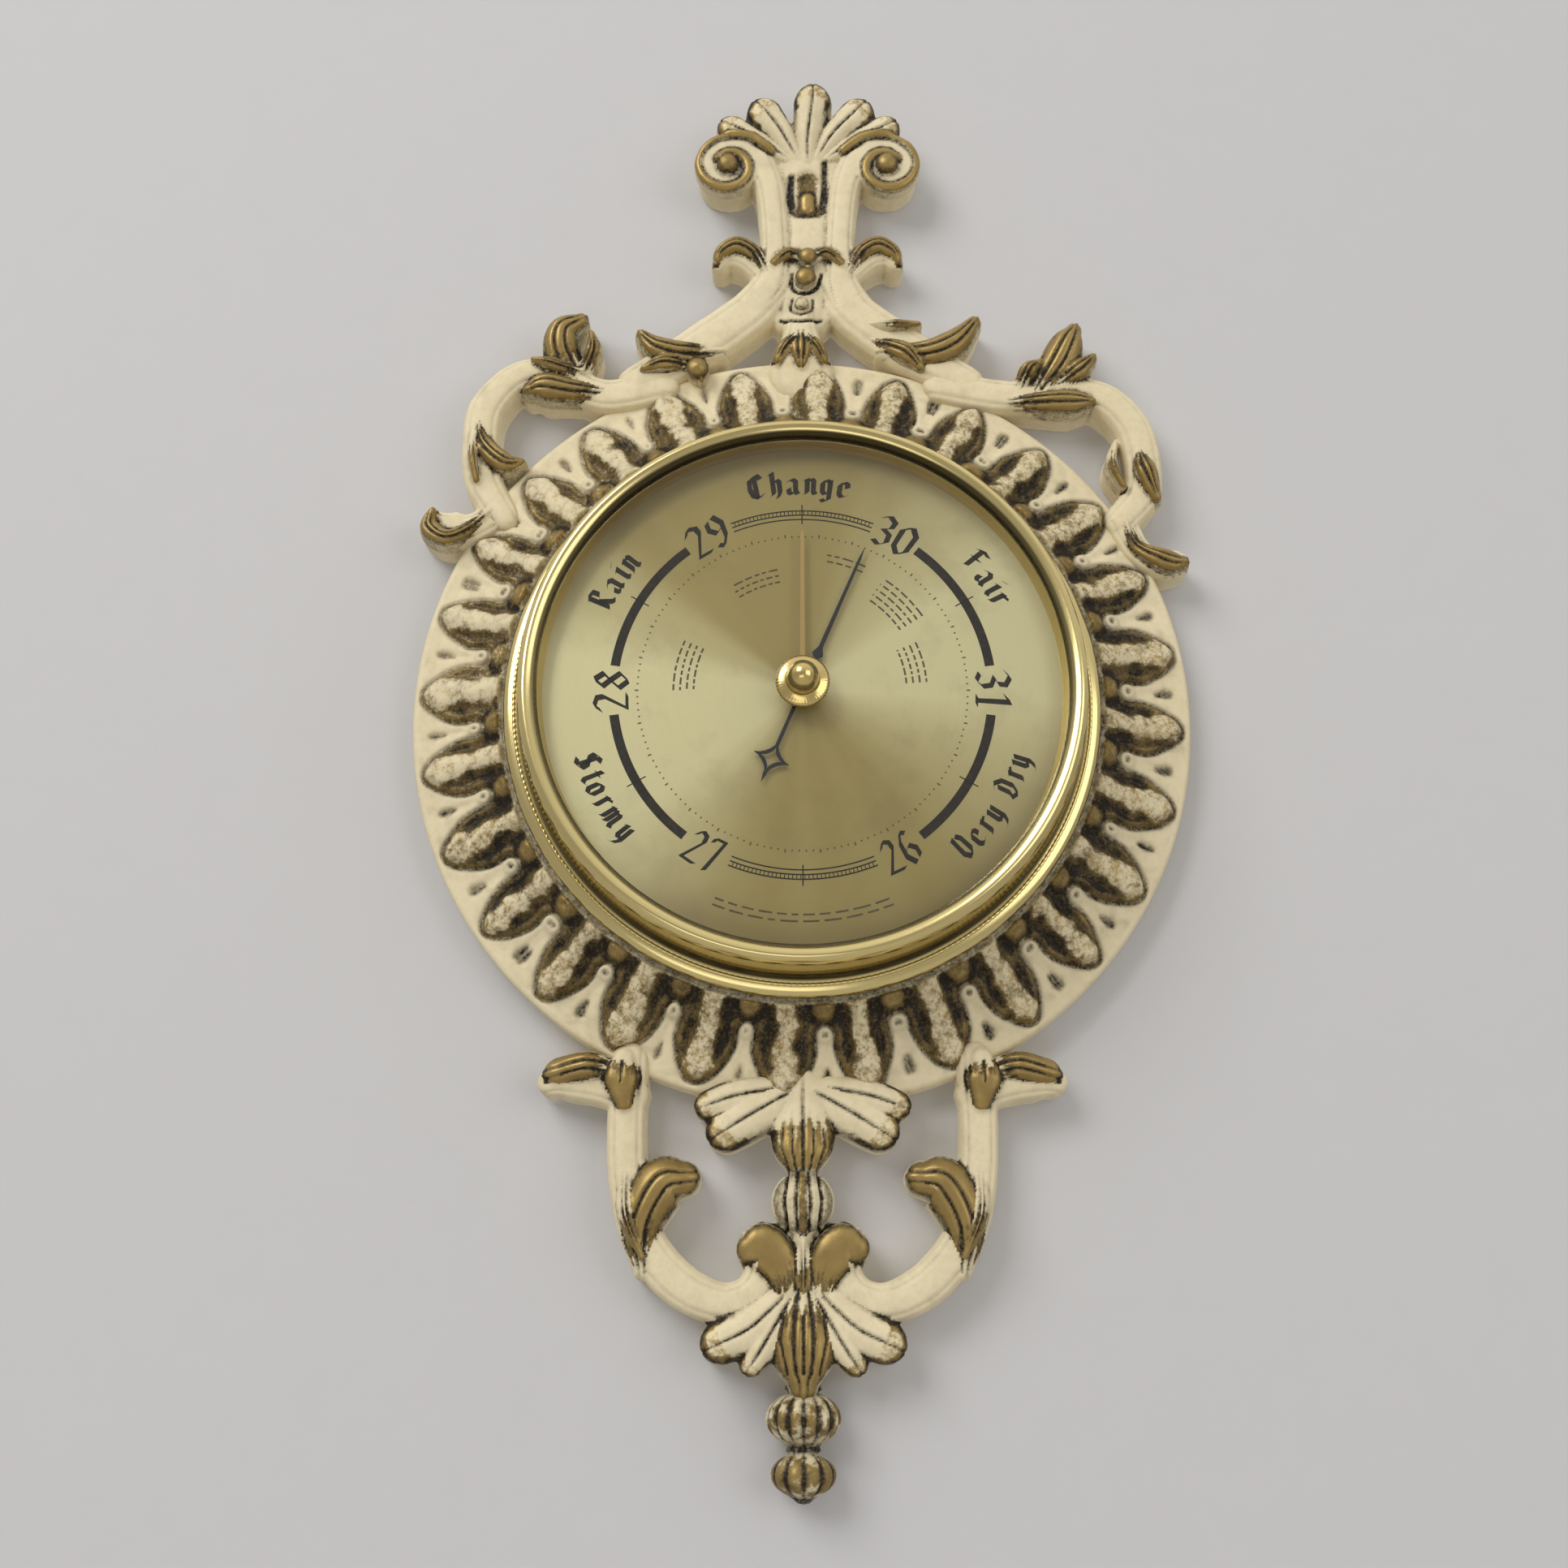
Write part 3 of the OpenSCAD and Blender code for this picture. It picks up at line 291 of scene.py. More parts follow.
def painted_casting():
    """Cream paint, gilt on the leaves, and a dark wash with painted shade in the hollows."""
    f = Finish("painted_casting")
    hues = shades()
    gilt = f.attribute("gilt")
    wash = f.attribute("wash")
    broad = f.noise(22, 3, 0.5)
    fine = f.noise(520, 4, 0.65, seed=3.1)
    specks = f.noise(1500, 2, 0.6, seed=1.7)
    cream = f.mix(broad, hues.cream, [c * k for c, k in zip(hues.cream, (1.12, 1.14, 1.20))])
    cream = f.mix((fine - 0.42).clamp() * 0.7, cream, (0.40, 0.31, 0.16))
    gold = f.mix((f.noise(240, 4, 0.6, seed=5.3) - 0.15).clamp(), hues.gilt, (0.46, 0.335, 0.125))
    worn = (gilt + (fine - 0.5) * 0.9 + (specks - 0.5) * 0.5).step(0.30, 0.66)
    paint = f.mix(worn, cream, gold)
    broken = (fine - 0.5) * 0.9 + (specks - 0.5) * 0.9
    # Dark wash and painted shade, broken up by noise
    dark_wash_and_shade = (wash + broken * wash.step(0.05, 0.35)).clamp()
    paint = f.mix(dark_wash_and_shade, paint, hues.wash)
    rough = 0.44 + fine * 0.16 - worn * 0.12 + dark_wash_and_shade * 0.16
    relief = f.bump(specks * 0.4 + fine * 0.6, 0.00012, 0.5)
    return f.set(
        Base_Color=paint,
        Roughness=rough,
        Metallic=worn * (1 - dark_wash_and_shade) * 0.6,
        Normal=relief,
        Specular_IOR_Level=0.28,
    )


def brass(name, base, rough, lines=0.0, corners=()):
    """Lacquered brass; lines turns it round the dial's axis, corners paint shade and dark
    reflection into rings of it.
    """
    f = Finish(name)
    cloud = f.noise(30, 3, 0.6)
    fine = f.noise(900, 3, 0.6, seed=2.0)
    paint = f.mix(cloud * 0.5, base, [c * k for c, k in zip(base, (0.86, 0.84, 0.78))])
    values = {
        "Base_Color": paint,
        "Roughness": rough + cloud * 0.06 + fine * 0.04,
        "Metallic": 1.0,
    }
    if lines:
        middle, out = f.from_axis()
        values["Normal"] = f.bump(f.streaks(out, 4200.0), 0.00004, lines)
        up = f.node("ShaderNodeSeparateXYZ", inputs={"Vector": middle}, output="Z")
        # Painted shade and dark reflection: each ring darker on the side its way picks
        for low, high, way in corners:
            side = (up * way).step(-0.03, 0.06) * 0.65 + 0.3
            outside = out.step((high - 0.6) * MM, high * MM)
            ring = out.step(low * MM, (low + 0.5) * MM) * (1 - outside)
            paint = f.mix((ring * side).clamp(), paint, (0.03, 0.022, 0.009))
        values["Base_Color"] = paint
    return f.set(**values)


# ---------------------------------------------------------------- mesh helpers


def mesh_of(name, bm):
    """Moves a bmesh into a new mesh."""
    mesh = bpy.data.meshes.new(name)
    bm.to_mesh(mesh)
    bm.free()
    return mesh


def linked(name, data):
    """A new object in the scene."""
    made = bpy.data.objects.new(name, data)
    bpy.context.scene.collection.objects.link(made)
    return made


def finished(name, bm, material, body="case", smooth=True):
    """Turns a bmesh into a piece that rides on a body."""
    return adopt(name, mesh_of(name, bm), material, body, smooth)


def adopt(name, mesh, material, body="case", smooth=True):
    """Turns a mesh into a piece that rides on a body."""
    mesh.materials.clear()
    mesh.materials.append(material)
    mesh.polygons.foreach_set("use_smooth", [smooth] * len(mesh.polygons))
    piece = linked(name, mesh)
    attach(piece, body)
    return piece


def spun(points, centre, axis, steps, closed):
    """Spins a line of points about an axis."""
    bm = bmesh.new()
    verts = [bm.verts.new(point) for point in points]
    edges = [bm.edges.new(pair) for pair in zip(verts, verts[1:])]
    if closed:
        edges.append(bm.edges.new((verts[-1], verts[0])))
    bmesh.ops.spin(
        bm,
        geom=verts + edges,
        cent=centre,
        axis=axis,
        angle=math.tau,
        steps=steps,
        use_merge=True,
    )
    bmesh.ops.remove_doubles(bm, verts=bm.verts, dist=1e-7)
    return bm


def turned(profile, steps, closed=True):
    """Spins a section of (radius, height) points about the dial's axis."""
    bm = spun([place(r, 0, h) for r, h in profile], AXIS, (0, 1, 0), steps, closed)
    bmesh.ops.recalc_face_normals(bm, faces=bm.faces)
    return bm


def polar(points):
    """Radius and angle in degrees of each point round the dial's axis, in millimetres."""
    x, y, _ = measured(points.T)
    return np.hypot(x, y), np.degrees(np.arctan2(y, x))


def coordinates(mesh):
    """Array of a mesh's points."""
    points = np.empty(len(mesh.vertices) * 3)
    mesh.vertices.foreach_get("co", points)
    return points.reshape(-1, 3)


def paint_on(mesh, **layers):
    """Stores layers of paint, painted shade among them, as attributes from 0 to 1."""
    for name, values in layers.items():
        data = mesh.attributes.new(name, "FLOAT", "POINT").data
        data.foreach_set("value", np.clip(values, 0, 1).astype(np.float32))


# Seeded lattice of values that mottle blends between
GRAIN = np.random.default_rng(5).uniform(-1, 1, (64, 64, 64)).astype(np.float32)


def mottle(points, scale, seed=0.0):
    """Seeded cloud noise from -1 to 1 at each point."""
    at = points * scale + seed * np.array([7.3, 3.1, 5.7]) + 1000.0
    cell = np.floor(at).astype(int)
    t = at - cell
    t = t * t * (3 - 2 * t)
    out = np.zeros(len(points))
    for corner in range(8):
        step = np.array([corner & 1, (corner >> 1) & 1, corner >> 2])
        share = np.prod(np.where(step, t, 1 - t), axis=1)
        i, j, k = ((cell + step) % 64).T
        out += share * GRAIN[i, j, k]
    return out


# ---------------------------------------------------------------- round body

# Edge of half a leaf: distance from its middle line and radius, from the tip to the foot
LEAF_EDGE = [
    (0.0, 88.4), (1.1, 88.0), (2.4, 87.1), (3.7, 85.6), (4.9, 83.7), (5.9, 81.4), (6.5, 79.2),
    (6.6, 77.4), (6.25, 75.9), (6.15, 74.6), (6.6, 73.5), (7.4, 72.9), (8.6, 72.6),
]
LEAF_TIP, LEAF_FOOT = LEAF_EDGE[0][1], LEAF_EDGE[-1][1]
# Radius and height of the sloping ground under the leaves
GROUND = [
    (66, 15.6), (68.4, 15.3), (70, 13.9), (72.5, 12.2), (77, 10.0), (82, 8.1), (86, 7.2), (91, 6.9),
]
FIRST_LEAF = 267.0


def gap_to_edge(x, r):
    """Distance inside the leaf's edge: above 0 in the leaf, below 0 in the gap."""
    best = np.full(x.shape, 1e9)
    for (ax, ar), (bx, br) in zip(LEAF_EDGE, LEAF_EDGE[1:]):
        dx, dr = bx - ax, br - ar
        t = np.clip(((x - ax) * dx + (r - ar) * dr) / (dx * dx + dr * dr), 0, 1)
        best = np.minimum(best, np.hypot(x - ax - t * dx, r - ar - t * dr))
    rows = sorted((q[1], q[0]) for q in LEAF_EDGE)
    edge_x = np.interp(r, [q[0] for q in rows], [q[1] for q in rows])
    inside = np.where(r < LEAF_FOOT, True, np.where(r > LEAF_TIP, False, x < edge_x))
    return np.where(inside, best, -best)


def wreath_relief(points, r, angle, count):
    """Height over the sloping ground, and how gilt and how dark each point is."""
    step = 360.0 / count
    turn = (angle - FIRST_LEAF) / step
    index = np.round(turn).astype(int) % count
    rng = np.random.default_rng(11)
    lean = rng.uniform(-0.5, 0.5, count)[index]
    fat = rng.uniform(0.93, 1.07, count)[index]
    swell = rng.uniform(0.85, 1.15, count)[index]
    rag = mottle(points, 420, 9.0)
    grit = mottle(points, 1000, 6.0)
    side = (turn - np.round(turn)) * math.radians(step) * r
    half = math.radians(step / 2) * r
    side = side + lean * smoothstep(74, 88, r) * (1 - np.abs(side) / half)
    across = 8.98 / (math.radians(step / 2) * 80)
    x = np.abs(side) / fat * across + rag * 0.16
    gap_x = half * across
    d = gap_to_edge(x, r + rag * 0.15)
    rib = np.interp(r, [66, 70, 75, 80, 84, 86.5, 88], [2.5, 2.0, 1.9, 2.5, 3.2, 2.6, 0.8])
    from_rib = x - rib
    rough_rib = from_rib + rag * 0.9 + grit * 0.25
    hollow = np.minimum(from_rib, d - 0.5)
    knob = np.hypot(x - gap_x, r - 75.0)
    bulge = np.hypot((x - gap_x) * 0.85, (r - 70.0) * 1.1)
    tipward = smoothstep(75, 81, r)
    up = 1.9 * swell * smoothstep(-0.1, 1.7, d)
    up -= 1.5 * smoothstep(0.0, 1.7, hollow)
    up += 0.85 * (1 - smoothstep(-1.9, 1.1, from_rib)) * smoothstep(0.4, 2.2, d)
    up -= 0.75 * bell(d + 0.1, 0.42)
    up += 0.9 * (1 - smoothstep(1.0, 2.3, knob)) - 0.7 * bell(knob, 0.6)
    valley = bell(x - gap_x, 1.1) * smoothstep(76.5, 79, r) * (1 - smoothstep(84, 87, r))
    up -= 0.45 * valley * (d < 0)
    slit = bell(x - gap_x, np.interp(r, [81.5, 84.6, 87], [0.35, 0.95, 0.5]))
    slit = slit * smoothstep(81.2, 82.6, r) * (1 - smoothstep(85.4, 86.6, r))
    up -= 0.9 * slit
    ball = 1 - smoothstep(0.7, 3.7, bulge)
    up += 2.3 * ball
    band = smoothstep(-0.7, 0.8, rough_rib)
    by_edge = 1 - smoothstep(0.3, 1.7, d + 0.5 * rag)
    band = np.maximum(band, 0.9 * by_edge) * smoothstep(-0.15, 0.35, d)
    crown = smoothstep(0.38, 0.85, ball)
    line = bell(d + 0.05, 0.40) * smoothstep(71, 74, r)
    gilt = np.maximum(band * 0.95, crown)
    gilt = np.maximum(gilt, 0.44 * smoothstep(0.2, 1.2, d))
    edge = bell(d - 0.9, 0.5) * tipward * band
    wash = band * (0.80 + 0.28 * rag) - 0.68 * crown - 0.22 * edge
    wash = np.maximum(wash, 0.95 * line) + 0.95 * slit
    wash += 0.9 * bell(knob, 0.65) + 0.25 * smoothstep(0.8, 1.8, hollow)
    wash += 0.5 * bell(bulge - 3.2, 0.5) * band
    on_leaf = smoothstep(0.0, 0.6, d) * (1 - band)
    wash += on_leaf * (0.08 + 0.24 * smoothstep(-0.2, 0.7, grit + 0.8 * rag))
    wash += 0.14 * (1 - smoothstep(-1.2, 0.0, d)) * smoothstep(0.1, 0.8, rag)
    return up, gilt, wash


def make_round_body(material):
    """Round body: turned section with the wreath pressed into its front."""
    count = bpy.context.scene.barometer_shape.leaves
    inner = [(SEAT_R, 0), (SEAT_R, 6), (SEAT_R, 12), (SEAT_R, SEAT_H - 0.4), (SEAT_R + 0.4, SEAT_H)]
    inner += [(64, SEAT_H), (66, SEAT_H), (67.2, SEAT_H), (67.9, SEAT_H - 0.2)]
    field = [(r, 10) for r in np.arange(68.3, 88.95, 0.36)]
    rim = [(89.2, 6.85), (89.6, 6.6), (89.9, 6.1), (90, 5.4), (90, 3), (90, 0.6), (89.7, 0)]
    back = [(84, 0), (76, 0), (68, 0)]
    bm = turned(inner + field + rim + back, count * 40)
    mesh = mesh_of("round_body", bm)
    points = coordinates(mesh)
    r, angle = polar(points)
    on_front = (r > 68.1) & (r < 89.0) & (points[:, 1] < -5 * MM)
    up, gilt, wash = wreath_relief(points, r, angle, count)
    ground = np.interp(r, [g[0] for g in GROUND], [g[1] for g in GROUND])
    ends = smoothstep(68.0, 69.6, r) * (1 - smoothstep(88.2, 89.0, r))
    lumps = mottle(points, 260, 2.0) * 0.16 + mottle(points, 90, 4.0) * 0.2
    height = ground + (up + lumps) * ends
    points[:, 1] = np.where(on_front, -height * MM, points[:, 1])
    mesh.vertices.foreach_set("co", points.ravel())
    mesh.update()
    patchy = mottle(points, 120, 7.0)
    # Painted light: less wash and gilt towards the upper left, where the lamp falls, with random
    # patches
    lit_upper_left = smoothstep(0.2, 1.0, np.cos(np.radians(angle - 135)))
    lit_fade_and_patches = np.clip(1.0 - 0.22 * lit_upper_left + patchy * 0.22, 0, 1)
    wash = np.where(on_front, wash * ends * lit_fade_and_patches, 0)
    # Painted shade: a dark ring on the body close round the bezel's foot
    shade_by_bezel = (r > 65.8) & (points[:, 1] < -12 * MM)
    wash = np.maximum(wash, np.where(shade_by_bezel, 0.7 * (1 - smoothstep(68.2, 69.8, r)), 0))
    paint_on(mesh, gilt=np.where(on_front, gilt * ends * lit_fade_and_patches, 0), wash=wash)
    piece = adopt("round_body", mesh, material)
    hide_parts("frame")
    return piece


# ---------------------------------------------------------------- cast scrolls


def span_at(a, b, c, d, t):
    """Point on a smooth curve between b and c."""
    square, cube = 2 * a - 5 * b + 4 * c - d, 3 * b - a - 3 * c + d
    return 0.5 * (2 * b + (c - a) * t + square * t * t + cube * t**3)


def smooth_line(points, gap=0.7):
    """Samples a smooth curve through rows of any width about every gap millimetres."""
    rows = np.array(points, float)
    out = []
    for i in range(len(rows) - 1):
        a, b, c = rows[max(i - 1, 0)], rows[i], rows[i + 1]
        d = rows[min(i + 2, len(rows) - 1)]
        n = max(2, int(np.hypot(*(c - b)[:2]) / gap))
        out += [span_at(a, b, c, d, k / n) for k in range(n)]
    return np.array(out + [rows[-1]])


# Heights of each kind of form at its root, its middle and its tip
FORMS = {
    "bar": (9.3, 9.8, 9.3),
    "leaf": (9.6, 12.7, 11.2),
    "lobe": (8.6, 10.6, 11.2),
    "dome": (9.6, 12.6, 11.8),
}
# Section of each kind: share of the height at the sides, and two powers of its curve
CROWNS = {
    "bar": (0.74, 2.6, 0.5),
    "leaf": (0.64, 2.0, 0.55),
    "lobe": (0.70, 2.2, 0.5),
    "dome": (0.80, 3, 0.5),
}


def blunted(rows):
    """Gives a leaf a round tip, without letting it reach any further."""
    (ax, ay, *_), (bx, by, width, height) = rows[-2:]
    wide = max(width, 0.5 * max(row[2] for row in rows))
    back = (wide - width) / 2
    way = np.array([bx - ax, by - ay]) / max(math.hypot(bx - ax, by - ay), 1e-6)
    return rows[:-1] + [(bx - way[0] * back, by - way[1] * back, wide, height)]


class Stroke:
    """One modelled form of the casting: a centre line with widths, heights and paint."""

    def __init__(self, kind, points, paint=None):
        self.kind = kind
        self.paint = paint
        low, belly, tip = FORMS[kind]
        n = len(points) - 1
        rows = []
        for i, p in enumerate(points):
            u = i / n
            h = p[3] if len(p) > 3 else np.interp(u, [0, 0.5, 1], [low, belly, tip])
            rows.append((p[0], p[1], p[2], h))
        if kind in ("leaf", "lobe"):
            rows = blunted(rows)
        self.line = smooth_line(rows)
        self.s = np.linspace(0, 1, len(self.line))
        way = np.gradient(self.line[:, :2], axis=0)
        way /= np.maximum(np.linalg.norm(way, axis=1), 1e-9)[:, None]
        self.way = way
        self.side = np.stack([-way[:, 1], way[:, 0]], axis=1)

    def mirrored(self):
        """The same form on the other side of the middle line."""
        other = object.__new__(Stroke)
        other.kind, other.paint, other.s = self.kind, self.paint, self.s
        flip = np.array([-1, 1])
        other.line = self.line.copy()
        other.line[:, 0] *= -1
        other.way = self.way * flip
        other.side = -self.side * flip
        return other

    def bent(self):
        """Leans the form with the crest."""
        self.line[:, 0] = leaning(self.line[:, 0], self.line[:, 1])
        return self

    def crown(self, t):
        """Height of the section across the form, as a share of its full height."""
        side, power, root = CROWNS[self.kind]
        return side + (1 - side) * np.clip(1 - np.abs(t) ** power, 0, 1) ** root

    def solid(self, bm):
        """Adds the form as a closed tube whose flat side lies on the wall."""
        across = [(-1, 0), (-1, 0.4)] + [(t, float(self.crown(t))) for t in np.linspace(-1, 1, 15)]
        across += [(1, 0.4), (1, 0)]
        stations = self.rounded_ends()
        made = bmesh.ops.create_grid(
            bm, x_segments=len(across) - 1, y_segments=len(stations) - 1, size=1
        )["verts"]
        columns = len(across)
        for k, vert in enumerate(made):
            centre, side, half, height = stations[k // columns]
            t, up = across[k % columns]
            x, y = centre + side * half * t
            vert.co = place(x, y, height * up)
        bmesh.ops.remove_doubles(bm, verts=made, dist=1e-7)
        bmesh.ops.holes_fill(bm, edges=[e for e in bm.edges if e.is_boundary], sides=0)

    def rounded_ends(self):
        """Stations along the form, with a round nose at each end."""
        noses = []
        for end, sign in ((0, -1), (-1, 1)):
            row, side, reach = self.line[end], self.side[end], self.line[end][2] / 2
            nose = []
            for share, far in [(math.cos(a), math.sin(a)) for a in np.radians([84, 66, 44, 22])]:
                centre = row[:2] + sign * self.way[end] * reach * far
                nose.append((centre, side, reach * share, row[3] * (0.80 + 0.20 * share)))
            noses.append(nose)
        body = [(row[:2], side, row[2] / 2, row[3]) for row, side in zip(self.line, self.side)]
        return noses[0] + body + noses[1][::-1]

    def locate(self, x, y):
        """Share along the form, place across it, height, width and nearness to its rim."""
        near = np.zeros(len(x), int)
        best = np.full(len(x), 1e9)
        for i, row in enumerate(self.line):
            gap = (x - row[0]) ** 2 + (y - row[1]) ** 2
            closer = gap < best
            near[closer] = i
            best[closer] = gap[closer]
        row = self.line[near]
        dx, dy = x - row[:, 0], y - row[:, 1]
        across = dx * self.side[near, 0] + dy * self.side[near, 1]
        across = across / np.maximum(row[:, 2] / 2, 0.2)
        along = dx * self.way[near, 0] + dy * self.way[near, 1]
        beyond = np.maximum(0, np.abs(along) - row[:, 2] / 2)
        outside = (np.abs(across) > 1.12) | (beyond > 0.3)
        outside |= np.sqrt(best) > row[:, 2] * 0.75 + 0.5
        height = row[:, 3] * self.crown(np.clip(across, -1, 1))
        round_end = 1 - 0.2 * np.clip(np.abs(along) / np.maximum(row[:, 2] / 2, 0.3), 0, 1)
        height = np.where(np.abs(along) > 0.5, height * round_end, height)
        past = np.where(near == len(self.line) - 1, np.maximum(along, 0), 0)
        rim = np.hypot(across, past / np.maximum(row[:, 2] / 2, 0.3))
        return self.s[near], across, np.where(outside, -1e3, height), row[:, 2], rim


# Height of each casting's back over the wall, no two alike where they meet
BACKS = {"crest": 0.04, "left_shoulder": 0.08, "right_shoulder": 0.12, "pendant": 0.04}
# Room for the wall screw's head: width and height in metres, depth in millimetres
KEYHOLE = ((-0.0045, 0.0045), (-0.004, 0.010), 5.4)


def cast(name, strokes, buttons, lines, back, material):
    """Fuses forms into one casting, cuts its veins and paints it."""
    bm = bmesh.new()
    for stroke in strokes:
        part = bmesh.new()
        stroke.solid(part)
        bmesh.ops.recalc_face_normals(part, faces=part.faces)
        add_to(bm, part)
    for button in buttons:
        add_to(bm, button_solid(button))
    rough = linked(name + "_rough", mesh_of(name + "_rough", bm))
    fuse = rough.modifiers.new("fuse", "REMESH")
    fuse.mode = "VOXEL"
    fuse.voxel_size = bpy.context.scene.barometer_shape.voxel
    soften = rough.modifiers.new("soften", "SMOOTH")
    soften.factor = 0.5
    soften.iterations = 3
    graph = bpy.context.evaluated_depsgraph_get()
    fused = bpy.data.meshes.new_from_object(rough.evaluated_get(graph))
    bpy.data.objects.remove(rough)
    carve(fused, strokes, buttons, lines, back)
    return adopt(name, fused, material)


def button_solid(button):
    """A bead, or a drum with a rounded edge."""
    x, y, r, h, *rest = button
    part = bmesh.new()
    if "drum" in rest:
        bmesh.ops.create_cone(part, cap_ends=True, segments=64, radius1=1, radius2=1, depth=2)
        rim = [e for e in part.edges if all(v.co.z > 0 for v in e.verts)]
        bmesh.ops.bevel(
            part, geom=rim, offset=0.12, segments=4, profile=0.5, affect="EDGES", material=-1
        )
        shape = [(v, (v.co.z + 1) / 2 * h) for v in part.verts]
    else:
        bmesh.ops.create_uvsphere(part, u_segments=32, v_segments=16, radius=1)
        middle = h - r * 0.75
        shape = [(v, middle + v.co.z * (r * 0.75 if v.co.z > 0 else middle)) for v in part.verts]
    for vert, height in shape:
        vert.co = place(x + vert.co.x * r, y + vert.co.y * r, height)
    bmesh.ops.recalc_face_normals(part, faces=part.faces)
    return part


def add_to(bm, part):
    """Adds one bmesh to another."""
    mesh = mesh_of("part", part)
    bm.from_mesh(mesh)
    bpy.data.meshes.remove(mesh)


def relaxed(points, ends, times):
    """Average of the neighbours, taken some times over."""
    count = len(points)
    a, b = ends[:, 0], ends[:, 1]
    share = np.bincount(a, minlength=count) + np.bincount(b, minlength=count)
    share = np.maximum(share, 1)
    out = points
    for _ in range(times):
        total = []
        for k in range(3):
            ahead = np.bincount(a, out[b, k], minlength=count)
            total.append(ahead + np.bincount(b, out[a, k], minlength=count))
        out = out * 0.4 + (np.stack(total, axis=1) / share[:, None]) * 0.6
    return out


def normals_of(mesh):
    """Array of the normals at a mesh's points."""
    values = np.empty(len(mesh.vertices) * 3)
    mesh.vertex_normals.foreach_get("vector", values)
    return values.reshape(-1, 3)


def recess(points, x, z, depth):
    """Sinks the back between two places in x and in z, in metres, to a depth in millimetres."""
    inside = (points[:, 0] > x[0]) & (points[:, 0] < x[1])
    inside &= (points[:, 2] > z[0]) & (points[:, 2] < z[1])
    inside &= points[:, 1] > -depth * MM
    points[inside, 1] = -depth * MM


def carve(mesh, strokes, buttons, lines, back):
    """Cuts veins and lines into a casting, flattens its back and paints it."""
    points = coordinates(mesh)
    x, y, h = measured(points.T)
    top = np.full(len(x), -1e3)
    cut = np.zeros(len(x))
    gilt = np.zeros(len(x))
    wash = np.zeros(len(x))
    speck = mottle(points, 900, 1.0)
    for number, stroke in enumerate(strokes):
        s, t, height, width, rim = stroke.locate(x, y)
        wins = (height > top) & (height > 0)
        top = np.where(wins, height, top)
        groove, paint, dark = stroke_finish(stroke, s, t, width, rim, speck, number)
        cut = np.where(wins, groove, cut)
        gilt = np.where(wins, paint, gilt)
        wash = np.where(wins, dark, wash)
    on_top = smoothstep(0.62, 0.80, h / np.maximum(top, 1))
    for bx, by, r, bh, paint, *drum in buttons:
        far = np.hypot(x - bx, y - by)
        near = (far < r * 1.05) & (h > (top - 0.3 if drum else bh * 0.72))
        gilt = np.where(near, paint, gilt)
        wash = np.where(near, 0.0 if drum else 0.12 + 0.6 * smoothstep(0.55, 1.0, far / r), wash)
        cut = np.where(near, 0, cut)
        top = np.where(near, np.maximum(top, bh * 0.9), top)
    for shape, width, raise_by, gold, dark in lines:
        far = groove_line(x, y, shape)
        core = np.exp(-((far / (width / 2)) ** 4)) * (h > top * 0.72)
        rim = bell(far - width / 2, 0.35) * (h > top * 0.72)
        cut = cut * (1 - core) - raise_by * core
        gilt = gilt * (1 - core) + gold * core
        wash = wash * (1 - core) + dark * core
        if raise_by > 0:
            wash = np.maximum(wash, 0.75 * rim)
    normal = normals_of(mesh)
    lumps = mottle(points, 170, 8.0) * 0.10 + mottle(points, 420, 5.0) * 0.05
    points = points - normal * ((cut * on_top - lumps) * MM)[:, None]
    points[:, 1] = np.minimum(points[:, 1], -back * MM)
    low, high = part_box("hanger_plate")
    gap = 0.0002
    plate_x, plate_z = (low.x - gap, high.x + gap), (low.z - gap, high.z + gap)
    recess(points, plate_x, plate_z, 0.1 - low.y / MM)
    recess(points, *KEYHOLE)
    mesh.vertices.foreach_set("co", points.ravel())
    mesh.update()
    ends = np.empty(len(mesh.edges) * 2, int)
    mesh.edges.foreach_get("vertices", ends)
    ends = ends.reshape(-1, 2)
    normal = normals_of(mesh)
    facing = smoothstep(0.22, 0.55, -relaxed(normal, ends, 2)[:, 1])
    close = np.einsum("ij,ij->i", relaxed(points, ends, 5) - points, normal) / MM
    wide = np.einsum("ij,ij->i", relaxed(points, ends, 40) - points, normal) / MM
    # Darker in hollows: partly the dark wash, partly painted shade, more of it next to gilt
    hollow = smoothstep(0.02, 0.12, close) * 0.5 + smoothstep(0.1, 0.6, wide) * 0.5
    edge = smoothstep(0.03, 0.16, -close)
    gilded = gilt * on_top * facing
    near_gilt = relaxed(np.stack([gilded] * 3, axis=1), ends, 12)[:, 0]
    near_gilt = smoothstep(0.02, 0.3, near_gilt)
    wash = wash * on_top * (0.35 + 0.65 * facing) + hollow * (0.40 + 0.7 * near_gilt)
    wash = wash - edge * 0.25 * gilded
    outline = (1 - facing) * smoothstep(0.66, 0.9, h / np.maximum(top, 1)) * near_gilt
    wash = wash + 0.45 * outline + 0.08 * smoothstep(0.1, 0.8, mottle(points, 260, 3.0))
    lower = smoothstep(0.5, 3.0, h)
    paint_on(mesh, gilt=gilded, wash=wash * lower)


